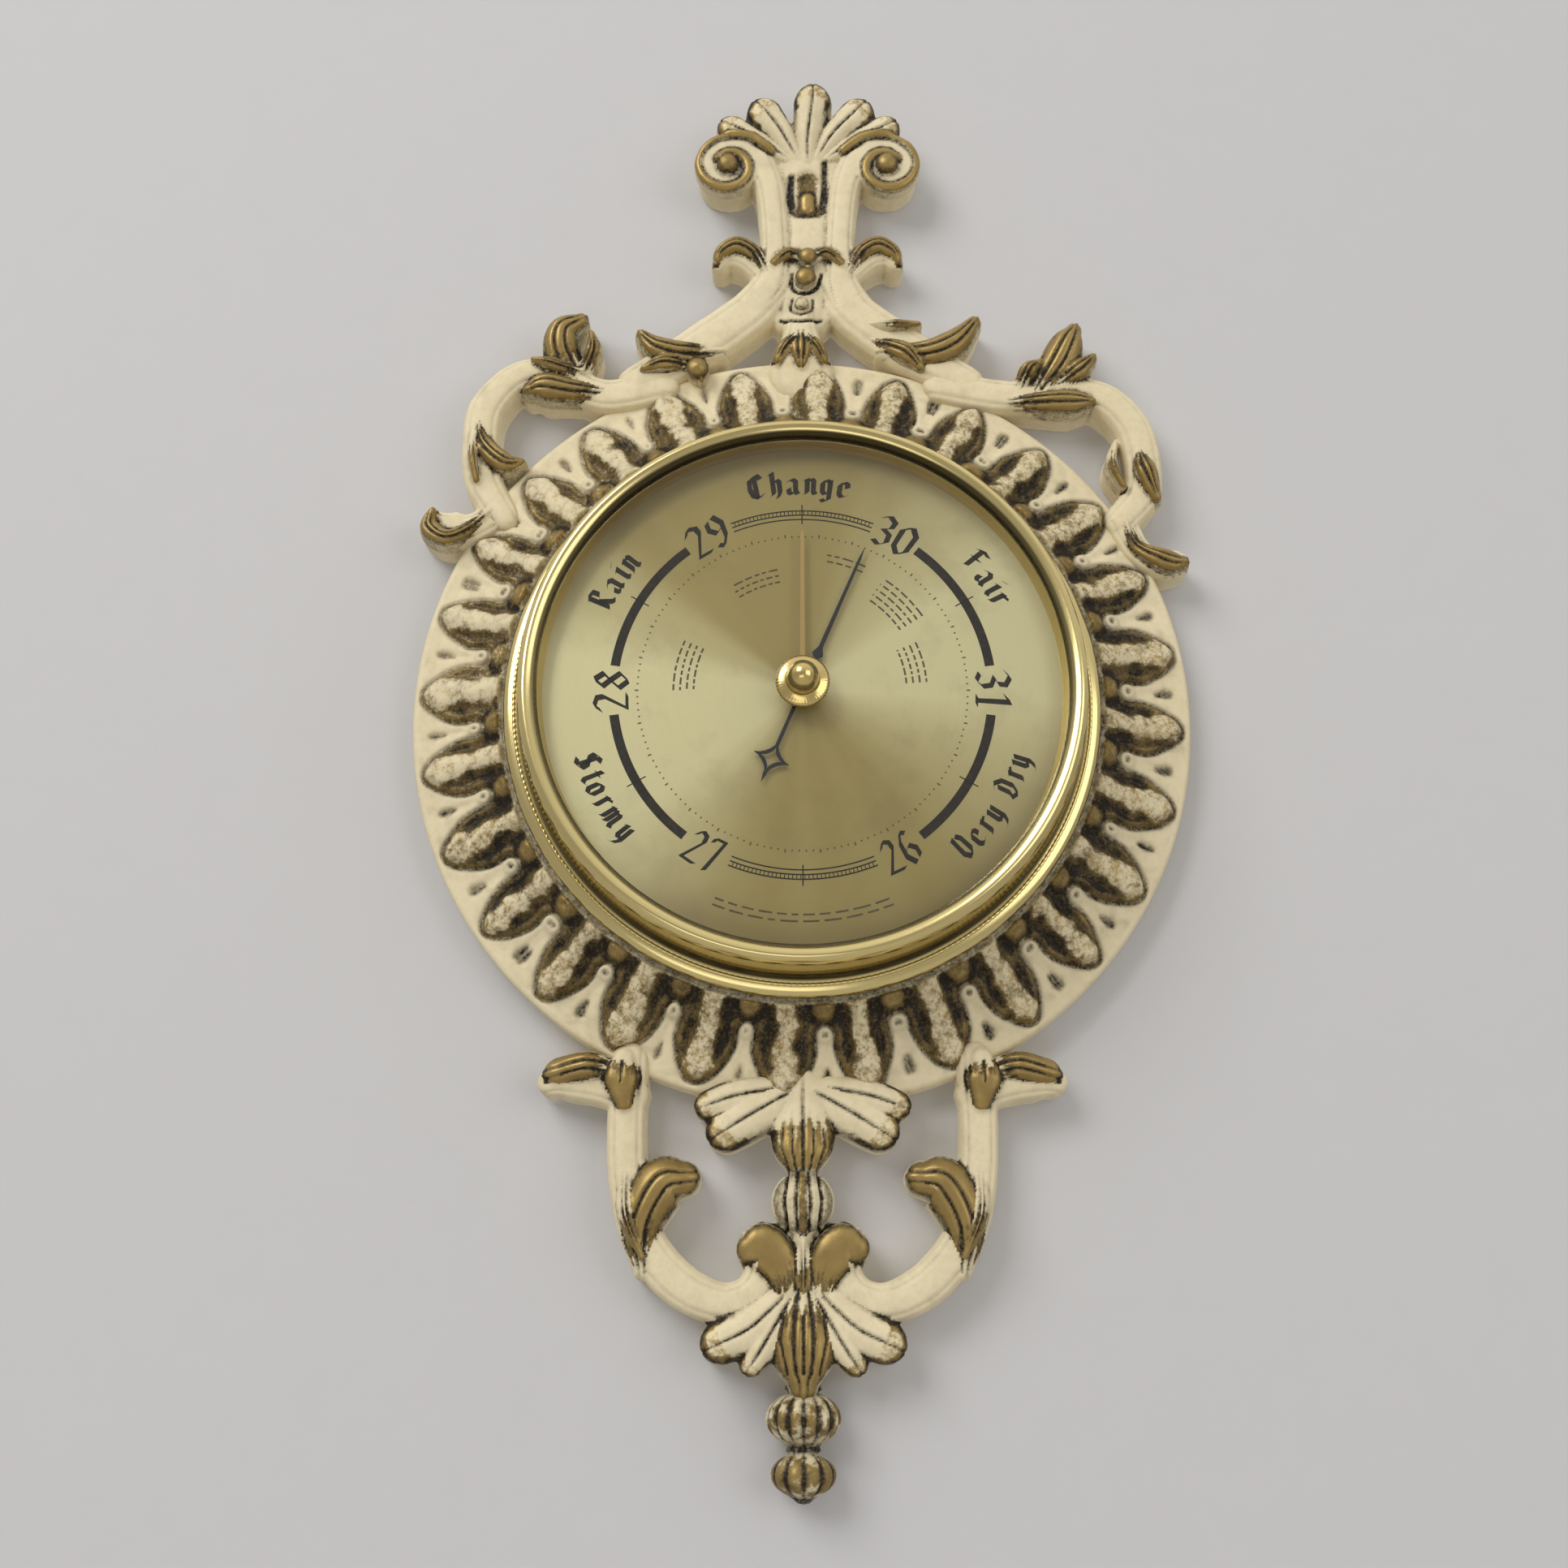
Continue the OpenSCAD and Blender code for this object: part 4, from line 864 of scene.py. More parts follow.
def stroke_finish(stroke, s, t, width, rim, speck, number):
    """Depth of the veins, gilt and wash over one form."""
    if stroke.kind == "bar":
        groove = 0.22 * bell(np.abs(t) - 0.62, 0.10) * smoothstep(4, 7, width)
        return groove, np.zeros_like(s), 0.07 * bell(np.abs(t) - 0.62, 0.08)
    veins = {"leaf": (-0.36, 0.36), "lobe": (0.0,), "dome": ()}[stroke.kind]
    reach = np.clip(np.sin(np.pi * np.clip(s * 0.94 + 0.03, 0.0, 1)), 0, 1) ** 0.4
    groove = np.zeros_like(s)
    for v in veins:
        spread = v * (1 - 0.25 * s)
        groove += bell((t - spread) * width / 2, 0.40)
    groove = groove * reach * smoothstep(2.0, 4.5, width)
    dark = groove
    groove = groove * 0.75
    streak = s + (np.sin(t * 9 + number * 1.7) + np.sin(t * 23 + number)) * 0.06 + speck * 0.10
    edge = smoothstep(0.66, 1.0, rim + speck * 0.05)
    gilt = np.zeros_like(s)
    if stroke.paint == "gilt":
        gilt = smoothstep(0.08, 0.28, streak)
        dark = dark + 0.9 * gilt * edge
        dark = dark + 0.65 * gilt * bell(streak - 0.24, 0.12) + 0.08 * gilt
    elif stroke.paint == "half":
        gilt = smoothstep(0.36, 0.62, streak)
        dark = dark * (0.5 + 0.5 * gilt) + 0.9 * gilt * edge
        dark = dark + 0.5 * gilt * bell(streak - 0.5, 0.14)
    elif stroke.paint == "tips":
        tip = smoothstep(0.62, 0.92, rim + speck * 0.12) * smoothstep(0.5, 0.9, s)
        gilt = np.clip(tip + 0.45 * smoothstep(0.86, 1.0, s), 0, 1)
        dark = dark * 0.8 + 0.8 * tip + 0.5 * edge * smoothstep(0.1, 0.5, s)
    else:
        dark = dark * 0.5
    return groove, gilt, dark


def points_in(path):
    """Points from text: commas between points, spaces between their numbers."""
    return [tuple(float(number) for number in point.split()) for point in path.split(",")]


def moved(points, dx, dy):
    """Points shifted in x and y, with the rest of their values."""
    return [(p[0] + dx, p[1] + dy, *p[2:]) for p in points]


def both_sides(strokes):
    """Strokes with their mirror images."""
    return strokes + [s.mirrored() for s in strokes]


def groove_line(x, y, points):
    """Distance of each point from a drawn line."""
    best = np.full(x.shape, 1e9)
    for (ax, ay), (bx, by) in zip(points, points[1:]):
        dx, dy = bx - ax, by - ay
        t = np.clip(((x - ax) * dx + (y - ay) * dy) / max(dx * dx + dy * dy, 1e-9), 0, 1)
        best = np.minimum(best, np.hypot(x - ax - t * dx, y - ay - t * dy))
    return best


# Each row: kind and paint, then points of x, y, width and, where given, height
# Crest: the leaves, scrolls and shell above the dial, middle and right half
CREST_MIDDLE = """
bar cream: 0 104 16 9, 0 110 18 9.2, 0 118 15 9.4, 0 128 14 9.4, 0 138 17 9.4, 0 147 20 9.8;
lobe tips: 0 145 4 10.4, 0 153 7.4 11.6, 0 161 9.8 12.6;
bar cream: 0 104 6 10.2, 0 98.5 8 11, 0 93 11.5 10.8, 0 87 17 9.6;
leaf gilt: 0 96 4 11.5, 0 91.8 6.5 12.4, 0 88.4 4 11.5
"""
CREST_RIGHT = """
lobe tips: 2.5 145.5 3.2 10.2, 6 152 7 11.2, 10.2 157.3 9.8 12.2;
lobe tips: 4.5 145 3 10, 10.5 149.5 6 10.8, 17 153.4 8.2 11.4;
bar cream: 15.5 147.2 6.6 10.4, 10.8 144.5 7.6 10.6, 8.4 137 7.6 10.6, 7.4 127 7.2 10.4,
    7.2 118 7.6 10.2, 8.2 110.5 9.4 10, 12 104 11.4 9.8;
bar cream: 5.5 111.5 9 9.4, 11.1 104.5 11.5 9.8, 17.5 99 12 9.8, 23.2 94.8 12 9.8, 31 89.5 11 9.6,
    40 84 9.5 9.4;
bar cream: 8.5 111 5 9.2, 13 116.8 6.4 9.6, 17 118.3 6.2 9.6, 19.2 116.2 4.6 9.4;
leaf gilt: 9.2 113.5 3.2 10.2, 11.8 118.2 5 11.8, 15.5 120.4 5.4 12.2, 18.8 118.6 4.6 11.8,
    19.8 116.4 2.8 11;
leaf gilt: 1.2 95.6 3 11.2, 3.8 92.6 4.4 12, 5.6 89.4 3.4 11;
leaf gilt: 0.8 116.4 3.2 11.6, 4.2 118 4.2 12.2, 7.4 115.2 3 11.4
"""
# Beads and drums: x, y, radius, height and gilt
CREST_BUTTONS = [
    (17.6, 143, 7.7, 10.6, 0.0, "drum"),
    (-17.6, 143, 7.7, 10.6, 0.0, "drum"),
    (17.7, 142.4, 2.7, 13.0, 1.0),
    (-17.7, 142.4, 2.7, 13.0, 1.0),
    (0, 116.4, 2.3, 13.0, 1.0),
    (0, 110.9, 2.6, 12.6, 0.9),
    (0, 103.6, 1.8, 12.4, 0.4),
]
VOLUTE = points_in(
    "8 146.8, 12.2 150.2, 16.5 151, 20.8 149.6, 23.8 146.3, 24.5 142.2, 22.8 138.4, 19.2 136.3,"
    "15.4 137, 13.2 139.8, 13.3 143.2, 15.2 145.6, 17.8 145.9, 19.8 144.2"
)
# Drawn lines: path, width, height over the form, gilt and wash
CREST_LINES = [
    ([(-3.6, 139.6), (-3.7, 134), (-3.2, 130.4)], 1.8, -1.0, 0.3, 0.95),
    ([(3.9, 143.4), (3.8, 136), (3.2, 130.4)], 1.8, -1.0, 0.3, 0.95),
    ([(-2.2, 129.9), (2.2, 129.9)], 3.6, -0.6, 0.7, 0.6),
    ([(0, 138.4), (0, 131.5)], 5.6, -0.7, 0.8, 0.62),
    ([(0, 133.4), (0, 131.0)], 3.6, 0.4, 1.0, 0.0),
    ([(-5.0, 100.4), (0, 99.0), (5.0, 100.4)], 0.9, -0.6, 0.0, 0.8),
    ([(-2.4, 105.8), (-2.6, 102.6), (0, 100.9), (2.6, 102.6), (2.4, 105.8)], 0.7, -0.35, 0.3, 0.5),
    ([(-3.3, 112.6), (-2.8, 108.8), (0, 107.4), (2.8, 108.8), (3.3, 112.6)], 0.9, -0.6, 0.3, 0.9),
]
for side in (-1, 1):
    turns = [(side * x, y) for x, y in smooth_line(VOLUTE, 0.8)]
    CREST_LINES.append((turns, 2.2, 0.7, 1.0, 0.0))


def leaning(x, y):
    """The upper crest stands a little to the right."""
    share = smoothstep(100, 117, y)
    return x + share * (1.7 + 0.12 * x) + np.maximum(y - 150, 0) * 0.13


# Shoulders: scrolls and leaves on either side of the crest, not alike
LEFT = """
bar cream: 33 23 9, 20 20.5 9, 10 24.5 8, 4 27 7, -3 24.5 8, -9 17 9, -10 8 9, -9 -2 9, -4 -11 8;
bar cream: -5 -10 8 8.6, -11 -14 8 9.2, -16 -14.5 10 9.6, -19.5 -13 7 9.4;
leaf gilt: 47 32 5, 39 31 7, 32 32.5 6.5, 27.5 36.5 1.6;
leaf gilt: 41 28 3, 34 28 5, 29 26.5 2.5;
leaf half: 39 29 2, 42 26.5 5, 43 23.5 2;
leaf gilt: 13 25 5, 9 31 9, 9 37 8.5, 14 40.5 2.5;
leaf gilt: 14 26 4, 16.5 31 4.5, 16 36 2;
leaf gilt: 15 26 3, 7 27.5 4, 2 29 1.4;
leaf gilt: 19 21 4, 12 21 6.5, 5 22 8, 1 21 3;
leaf gilt: -11 14 1.6, -9 7 5, -4 2 6, 0.5 2 2;
leaf half: -11.5 12 2.5, -11.5 4 2.5, -10.5 -2.5 2;
leaf gilt: -7 -10 3, -12 -15 4, -16.8 -17.5 5, -20.8 -14.5 5.5, -20.4 -10.5 2.5
"""
LEFT_BUTTONS = [(41.9, 26.3, 2.9, 12.4, 1.0)]
RIGHT = """
bar cream: -33 23 9, -20 20.5 9, -10 20 8, -1 21.5 8, 7 19 8.5, 13 12 9, 15 2 9, 14 -6 9, 9 -12 8;
bar cream: 9 -12 8 8.6, 13 -20 7 9.2, 18.6 -23 8 9.6, 21.3 -23 7 9.4;
leaf gilt: -47 32 5, -37 31 7.5, -30 33.5 8, -24 40 1.8;
leaf half: -51 39 2, -45 38 3.5, -38.5 38.5 2.5;
leaf gilt: -50 35 2, -42 31 6, -38 27 3;
leaf gilt: -10 21 4, -5 28 9, -2 34 8.5, 0 38 2.5;
leaf gilt: -14 22 3, -12 26 5, -9 28.5 2;
leaf gilt: -5 23 3, 0 26 6, 4 30 2;
leaf gilt: -17 18 4, -9 18 6, -2 18 7, 3 18 3;
leaf gilt: 13.5 6 1.6, 15 0 6, 17.5 -7 3;
leaf half: 8.5 8 1.4, 7 1 3, 9.5 -4 2.5;
leaf gilt: 10 -13 3, 12 -19 4, 17 -22.5 6, 20.5 -23.5 6.2, 22.6 -23.5 4
"""
# Where the rows of the right shoulder are measured from; the left's is its mirror image
SHOULDER = (66.9, 60.2)

# Pendant below the dial, middle and right half
PENDANT_MIDDLE = """
lobe half: 0 -86 9 9.2, 0 -94 14 11.2, 0 -100 12.5 12.2, 0 -104.2 6 11.2;
bar cream: 0 -104 5 9.4, 0 -118 4.4 9, 0 -130 5 9.6;
leaf half: 0 -119 3 10.6, 0 -125 4.2 11.6, 0 -130 3 10.6;
leaf gilt: 0 -129 6 10.4, 0 -136 12.5 12.6, 0 -143 13.5 13, 0 -148.6 6 11.4
"""
PENDANT_RIGHT = """
bar cream: 38 -80 8.6, 38.5 -96 8.4, 37.5 -108 8.6, 34.2 -118.6 9, 27 -127.3 9.4, 18.5 -131.4 8.8,
    12 -130 8, 8.4 -125.6 9, 8.4 -120.4 12;
bar cream: 38 -87 9, 45 -85 9, 51.5 -84 9, 54.8 -84.5 7;
dome gilt: 3.8 -131.4 3.2 9.8, 4.2 -127 6.4 10.8, 6 -122.4 9.4 11.4, 8.9 -119.6 9.6 11.4,
    11.2 -120.2 6.4 11.2;
leaf gilt: 41.5 -82.2 5, 47 -81.2 6.8, 53.4 -82.6 6.8;
dome gilt: 39.2 -79.6 5 10.6, 39.6 -84 8 12, 38.9 -89.5 4 10.8;
leaf gilt: 34.4 -125 4, 34.8 -115 9.6, 30.6 -106.6 11.6, 26 -105.4 8;
leaf half: 38.4 -104 2.8, 38 -113 4.2, 34.4 -122 2.4;
lobe tips: 6 -86 6 9, 14.5 -87.8 8 10.6, 20.4 -89.8 7 11;
lobe tips: 3 -87 8 9, 10.5 -91.4 10.4 10.8, 16.6 -95.2 9.6 11.4;
lobe tips: 4 -130 7 10, 11 -136.4 10 11.4, 17.4 -139.6 9.4 11.8;
lobe tips: 3 -131 5 10, 8 -139.4 7.4 11.4, 11 -144 5.6 11
"""
PENDANT_BUTTONS = [(0, -110.5, 6.9, 12.4, 0.25)]
PENDANT_LINES = [
    ([(side * x, -104.6), (side * x * 1.25, -110.5), (side * x, -116.4)], 0.8, -0.7, 0.5, 0.95)
    for side in (-1, 1)
    for x in (1.3, 3.4)
]
PENDANT_LINES.append(([(-0.2, -104.6), (0, -116.4)], 1.4, 0.1, 0.9, 0.45))
for side in (-1, 1):
    PENDANT_LINES.append(([(side * 39.5, -80.4), (side * 39.7, -85)], 0.7, -0.5, 0.7, 0.85))
for inset in (-4.4, -2.2, 0, 2.2, 4.4):
    bud = [(inset, -134), (inset * 1.15, -139), (inset * 0.8, -146)]
    bell_leaf = [(inset, -95), (inset * 1.1, -99), (inset * 0.7, -104)]
    PENDANT_LINES.append((bud, 0.6, -0.5, 0.8, 0.85))
    PENDANT_LINES.append((bell_leaf, 0.55, -0.4, 0.5, 0.7))


def strokes_of(table, dx=0.0, dy=0.0):
    """Strokes from a table of "kind paint: points;", points being x y width and a height."""
    strokes = []
    for row in table.split(";"):
        words, path = row.split(":")
        kind, paint = words.split()
        strokes.append(Stroke(kind, moved(points_in(path), dx, dy), paint))
    return strokes


# Middle and rib count of the finial's ball and bud, and the height of its axis
BALL_Y, BALL_RIBS = -155, 7
BUD_Y, BUD_RIBS = -166.2, 5
FINIAL_H = 5.2


def bulges(y):
    """How far a height on the finial is inside the ball and inside the bud, 1 at their middles."""
    ball, bud = 1 - ((y - BALL_Y) / 5.4) ** 2, 1 - ((y - BUD_Y) / 4.8) ** 2
    return np.clip(ball, 0, 1), np.clip(bud, 0, 1)


def finial_turnery(material):
    """Neck, ribbed ball and bud at the foot, turned about the upright axis."""
    section = points_in(
        "0.3 -145, 3.6 -145, 3.4 -147, 2.8 -147.6, 3.8 -148.4, 4 -149, 3.2 -149.8"
    )
    for a in np.radians(np.arange(62, -63, -8)):
        section.append((8 * math.cos(a), BALL_Y + 5.6 * math.sin(a)))
    section += [(3.4, -160.6), (3.7, -161.4), (3.2, -162.0)]
    for a in np.radians(np.arange(60, -61, -8)):
        section.append((6.9 * math.cos(a), BUD_Y + 4.6 * math.sin(a)))
    section += [(2.2, -171.0), (1.2, -171.8), (0.3, -172.0)]
    points = [place(r, y, FINIAL_H) for r, y in section]
    bm = spun(points, place(0, 0, FINIAL_H), (0, 0, 1), 144, closed=False)
    bmesh.ops.holes_fill(bm, edges=[e for e in bm.edges if e.is_boundary], sides=0)
    for v in bm.verts:
        x, y, h = measured(v.co)
        depth = h - FINIAL_H
        turn = math.atan2(depth, x)
        ball, bud = bulges(y)
        rib = 1 - 0.12 * ball * (1 - abs(math.cos(turn * BALL_RIBS)))
        rib -= 0.10 * bud * (1 - abs(math.cos(turn * BUD_RIBS)))
        v.co = place(x * rib, y, FINIAL_H + depth * rib)
    geometry = list(bm.verts) + list(bm.edges) + list(bm.faces)
    made = bmesh.ops.bisect_plane(
        bm, geom=geometry, plane_co=place(0, 0, 0), plane_no=(0, 1, 0), clear_outer=True
    )
    rim = [e for e in made["geom_cut"] if isinstance(e, bmesh.types.BMEdge)]
    bmesh.ops.holes_fill(bm, edges=rim, sides=0)
    bmesh.ops.recalc_face_normals(bm, faces=bm.faces)
    mesh = mesh_of("finial", bm)
    points = coordinates(mesh)
    x, y, h = measured(points.T)
    turn = np.arctan2(h - FINIAL_H, x)
    ball, bud = bulges(y)
    hollow = ball * (1 - np.abs(np.cos(turn * BALL_RIBS))) ** 1.5
    hollow = hollow + bud * (1 - np.abs(np.cos(turn * BUD_RIBS))) ** 2
    neck = np.clip(1 - np.maximum(ball, bud) * 3, 0, 1)
    speck = mottle(points, 700, 3.0)
    gilt = np.clip(ball * 0.62 + bud * 0.95 + speck * 0.5, 0, 1)
    paint_on(mesh, gilt=gilt, wash=hollow * 1.5 + neck * 0.75 + 0.22 + speck * 0.2)
    piece = adopt("finial", mesh, material)
    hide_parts("frame")
    return piece


# ---------------------------------------------------------------- brass work


def sharpened(bm, degrees):
    """Marks edges that turn by more than an angle as sharp."""
    for edge in bm.edges:
        if len(edge.link_faces) == 2 and edge.calc_face_angle(0) > math.radians(degrees):
            edge.smooth = False
    return bm


def rounded(section, radius_mm):
    """Rounds the corners of a closed section of (radius, height) points."""
    steps = 4
    out = []
    count = len(section)
    for i, corner in enumerate(section):
        before, after = Vector(section[i - 1]), Vector(section[(i + 1) % count])
        corner = Vector(corner)
        a, b = before - corner, after - corner
        reach = min(radius_mm, a.length * 0.45, b.length * 0.45)
        if reach < 0.02 or a.normalized().dot(b.normalized()) < -0.985:
            out.append(tuple(corner))
            continue
        start, end = corner + a.normalized() * reach, corner + b.normalized() * reach
        for k in range(steps + 1):
            t = k / steps
            out.append(tuple(start * (1 - t) ** 2 + corner * 2 * t * (1 - t) + end * t * t))
    return out


def make_bezel(material):
    """Bezel with its rolled rim, and the roped line at its foot."""
    wall = BEZEL_R - 4.75
    section = [
        (BEZEL_R, SEAT_H), (BEZEL_R, SEAT_H + 1.2), (BEZEL_R - 0.4, SEAT_H + 1.9),
        (BEZEL_R - 1.2, SEAT_H + 2.5), (BEZEL_R - 2.2, SEAT_H + 2.7), (wall + 1.6, SEAT_H + 3.0),
        (wall + 0.7, SEAT_H + 3.9), (wall, SEAT_H + 6.2), (wall, BEZEL_TOP - 3.2),
    ]
    for a in np.radians(np.arange(7.5, 91, 7.5)):
        section.append((wall - 2 + 2 * math.cos(a), BEZEL_TOP - 3.2 + 3.2 * math.sin(a)))
    section += [
        (59.6, BEZEL_TOP - 0.7), (58.4, GLASS_TOP + 0.4), (58.4, GLASS_TOP + 0.02),
        (60.5, GLASS_TOP + 0.02), (60.5, GLASS_TOP - 2.1), (61.6, GLASS_TOP - 2.1),
        (61.6, SEAT_H + 2.5), (65.6, SEAT_H + 2.1), (66.1, SEAT_H + 1.5), (66.1, SEAT_H),
    ]
    bm = sharpened(turned(section, 360), 50)
    piece = finished("bezel_turned", bm, material)
    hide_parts("bezel")
    turns = bpy.context.scene.barometer_shape.beads
    rope_r, rope_h, rope_t = BEZEL_R - 2.6, SEAT_H + 2.75, 0.42
    around = np.linspace(0, math.tau, 9)[:-1]
    ring = [(rope_r + rope_t * math.cos(a), rope_h + rope_t * math.sin(a)) for a in around]
    bm = turned(ring, turns * 5)
    for v in bm.verts:
        x, y, h = measured(v.co)
        r, angle = math.hypot(x, y), math.atan2(y, x)
        across = math.atan2(h - rope_h, r - rope_r)
        swell = 1 + 0.10 * math.cos(angle * turns + across)
        far, up = rope_r + (r - rope_r) * swell, rope_h + (h - rope_h) * swell
        v.co = place(far * math.cos(angle), far * math.sin(angle), up)
    rope = finished("bezel_rope", bm, material)
    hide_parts("bezel")
    return piece


def make_sight_ring(material):
    """Stepped ring between dial and glass."""
    section = [
        (57.8, DIAL_TOP), (61.3, DIAL_TOP), (61.3, DIAL_TOP + 1), (59.8, DIAL_TOP + 1),
        (59.8, DIAL_TOP + 3.6), (58.8, DIAL_TOP + 3.6), (58.5, DIAL_TOP + 2.2),
        (57.9, DIAL_TOP + 0.6),
    ]
    bm = sharpened(turned(rounded(section, 0.2), 300), 50)
    piece = finished("sight_ring_turned", bm, material)
    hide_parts("sight_ring")


def make_knob(material):
    """Knob with a milled edge and neck, on its spindle."""
    foot, low = GLASS_TOP + 0.3, -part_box("set_knob")[1].y / MM
    neck, top = foot + 3.3, front("set_knob")
    section = [(0.0, low), (1.5, low), (1.5, foot), (5.75, foot)]
    section += [(6.0, foot + 0.2), (6.0, foot + 0.75), (5.7, foot + 1.1), (5.1, foot + 1.45)]
    section += [(3.9, foot + 1.7), (3.55, foot + 2.1), (3.6, foot + 2.5), (3.75, foot + 2.7)]
    section.append((3.75, neck))
    for t in np.linspace(0.12, 1, 12):
        a = math.radians(90 * t)
        section.append((3.7 * math.cos(a) * (1 - 0.06 * t), neck + (top - neck) * math.sin(a)))
    section[-1] = (0.0, section[-1][1])
    bm = turned(section, 192, closed=False)
    for v in bm.verts:
        x, y, h = measured(v.co)
        r, angle = math.hypot(x, y), math.atan2(y, x)
        if r > 5.5 and h > foot + 0.1:
            r -= 0.14 * (0.5 + 0.5 * math.cos(angle * 48))
        if 3.5 < r < 3.9 and foot + 2.6 < h < foot + 3.4:
            r -= 0.12 * (0.5 + 0.5 * math.cos(angle * 32))
        v.co = place(r * math.cos(angle), r * math.sin(angle), h)
    sharpened(bm, 55)
    piece = finished("set_knob_turned", bm, material, body="set_hand")
    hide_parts("set_knob")


# ---------------------------------------------------------------- dial printing


def letters(table):
    """Pen strokes of each letter from a table of "letter: points / points;"."""
    drawn = {" ": []}
    for row in table.split(";"):
        letter, paths = row.split(":")
        drawn[letter.strip()] = [points_in(path) for path in paths.split("/")]
    return drawn


# Letters 7 high, drawn from their left foot
NIB = letters("""
0: 2 0, 0.6 1.5, 0.6 5.5, 2 7, 3.4 5.5, 3.4 1.5, 2 0;
1: 0.8 5.6, 2 7, 2 0 / 1 0, 3 0;
2: 0.6 5.6, 1.6 7, 3 6.4, 3.2 5, 0.6 0.3, 3.6 0.2;
3: 0.7 6, 1.8 7, 3.2 6, 3 4.4, 1.6 3.8, 3.2 3, 3.4 1.2, 2 0, 0.6 0.8;
4: 2.8 0, 2.8 7, 0.4 2, 3.8 2;
5: 3.3 7, 1 7, 0.8 4, 2.4 4.4, 3.4 3, 3.2 1, 1.8 0, 0.6 0.8;
6: 3.1 6.4, 2 7, 0.8 5, 0.6 2, 1.8 0, 3.2 0.8, 3.4 2.6, 2.2 3.9, 0.8 2.8;
7: 0.6 6, 0.8 7, 3.4 7, 1.6 0;
8: 2 3.7, 0.8 5.2, 2 7, 3.2 5.2, 2 3.7, 0.5 1.8, 2 0, 3.5 1.8, 2 3.7;
9: 0.9 0.6, 2 0, 3.2 2, 3.4 5, 2.2 7, 0.8 6.2, 0.6 4.4, 1.8 3.1, 3.2 4.2;
C: 3.6 5.6, 2.6 7, 0.8 6, 0.4 3, 1 0.8, 2.6 0, 3.8 1 / 2 6.8, 2 0.2;
R: 0.2 6.4, 1.2 7, 1.2 0.4, 0.4 0 / 1.2 7, 3 6.6, 3.2 4.6, 1.4 3.8, 3 0.6, 3.9 0;
F: 0.3 6, 1.4 7, 3.6 6.6 / 1.4 7, 1.4 0.5, 0.4 0 / 0.6 3.8, 3 3.9;
S: 3.5 6, 2.2 7, 0.6 5.8, 1 4.2, 3 3, 3.4 1.2, 1.8 0, 0.3 1 / 2 6.4, 2 0.6;
V: 0.2 6.4, 1.1 7, 1 1.8, 2.2 0, 3.6 1.6, 3.5 5.6, 2.6 7;
D: 0.3 6.2, 1.6 7, 3.4 5.4, 3.5 2, 2 0, 0.5 0.8, 1.3 2, 1.2 5.6;
a: 0.4 3.8, 1.4 4.6, 2.4 3.8, 2.4 0.8, 3 0 / 2.3 2.6, 0.5 1.8, 0.6 0.5, 1.4 0, 2.3 0.8;
e: 0.6 2.1, 2.5 3, 2.3 4.2, 1.4 4.7, 0.4 3.6, 0.5 0.9, 1.4 0, 2.6 0.8;
g: 2.4 4, 1.3 4.7, 0.4 3.6, 0.5 1, 1.3 0.2, 2.3 1 / 2.4 4.6, 2.4 -1.2, 1.2 -2, 0.3 -1.2;
h: 0.3 6.4, 1 7, 1 0.6, 0.4 0 / 1 3.8, 2 4.7, 2.7 3.9, 2.7 0.6, 1.9 -0.8;
i: 0.3 4.1, 1 4.7, 1 0.8, 1.6 0 / 0.8 6.2, 1.3 6.6;
m: 0.3 4.1, 0.9 4.7, 0.9 0.6, 0.4 0 / 0.9 3.9, 1.8 4.7, 2.4 4, 2.4 0.6, 2 0 / 2.4 3.9, 3.3 4.7,
    3.9 4, 3.9 0.8, 4.5 0;
n: 0.3 4.1, 0.9 4.7, 0.9 0.6, 0.4 0 / 0.9 3.9, 1.9 4.7, 2.6 4, 2.6 0.8, 3.2 0;
o: 1.4 0, 0.4 0.9, 0.4 3.7, 1.4 4.7, 2.5 3.8, 2.5 1, 1.4 0;
r: 0.3 4.1, 0.9 4.7, 0.9 0.6, 0.5 0 / 0.9 3.8, 1.7 4.7, 2.3 4.2;
t: 1 6.2, 0.9 0.9, 1.6 0, 2.1 0.5 / 0.2 4.6, 2 4.6;
y: 0.3 4.2, 0.8 4.7, 0.8 1, 1.6 0.2, 2.5 1 / 2.5 4.7, 2.5 0, 1.6 -1.6, 0.6 -2
""")
# Advance of the letters that aren't of the common width
WIDTHS = {"m": 5.2, " ": 2.4, "i": 2.2, "t": 2.6, "r": 2.8, "1": 4.0}


def flat_quad(bm, corners, h):
    """A flat patch of four corners at one height."""
    made = bmesh.ops.create_grid(bm, x_segments=1, y_segments=1, size=1)["verts"]
    order = [corners[0], corners[1], corners[3], corners[2]]
    for vert, (x, y) in zip(made, order):
        vert.co = place(x, y, h)


def write_round(bm, text, middle, r, size, inward, nib, h, spacing=1.0):
    """Writes nib strokes round a circle, centred on an angle in degrees."""
    advance = [spacing * WIDTHS.get(c, 4.4 if c.isdigit() or c.isupper() else 3.6) for c in text]
    total = sum(advance) * size
    turn = 1 if inward else -1
    along = -total / 2
    for c, wide in zip(text, advance):
        for line in NIB[c]:
            for (ax, ay), (bx, by) in zip(line, line[1:]):
                corners = []
                for px, py, side in ((ax, ay, -1), (bx, by, -1), (bx, by, 1), (ax, ay, 1)):
                    u = along + px * size + side * (nib[0] * size)
                    v = py * size + side * (nib[1] * size)
                    out = r - v if inward else r + v
                    a = math.radians(middle) + turn * u / r
                    corners.append((out * math.cos(a), out * math.sin(a)))
                flat_quad(bm, corners, h)
        along += wide * size


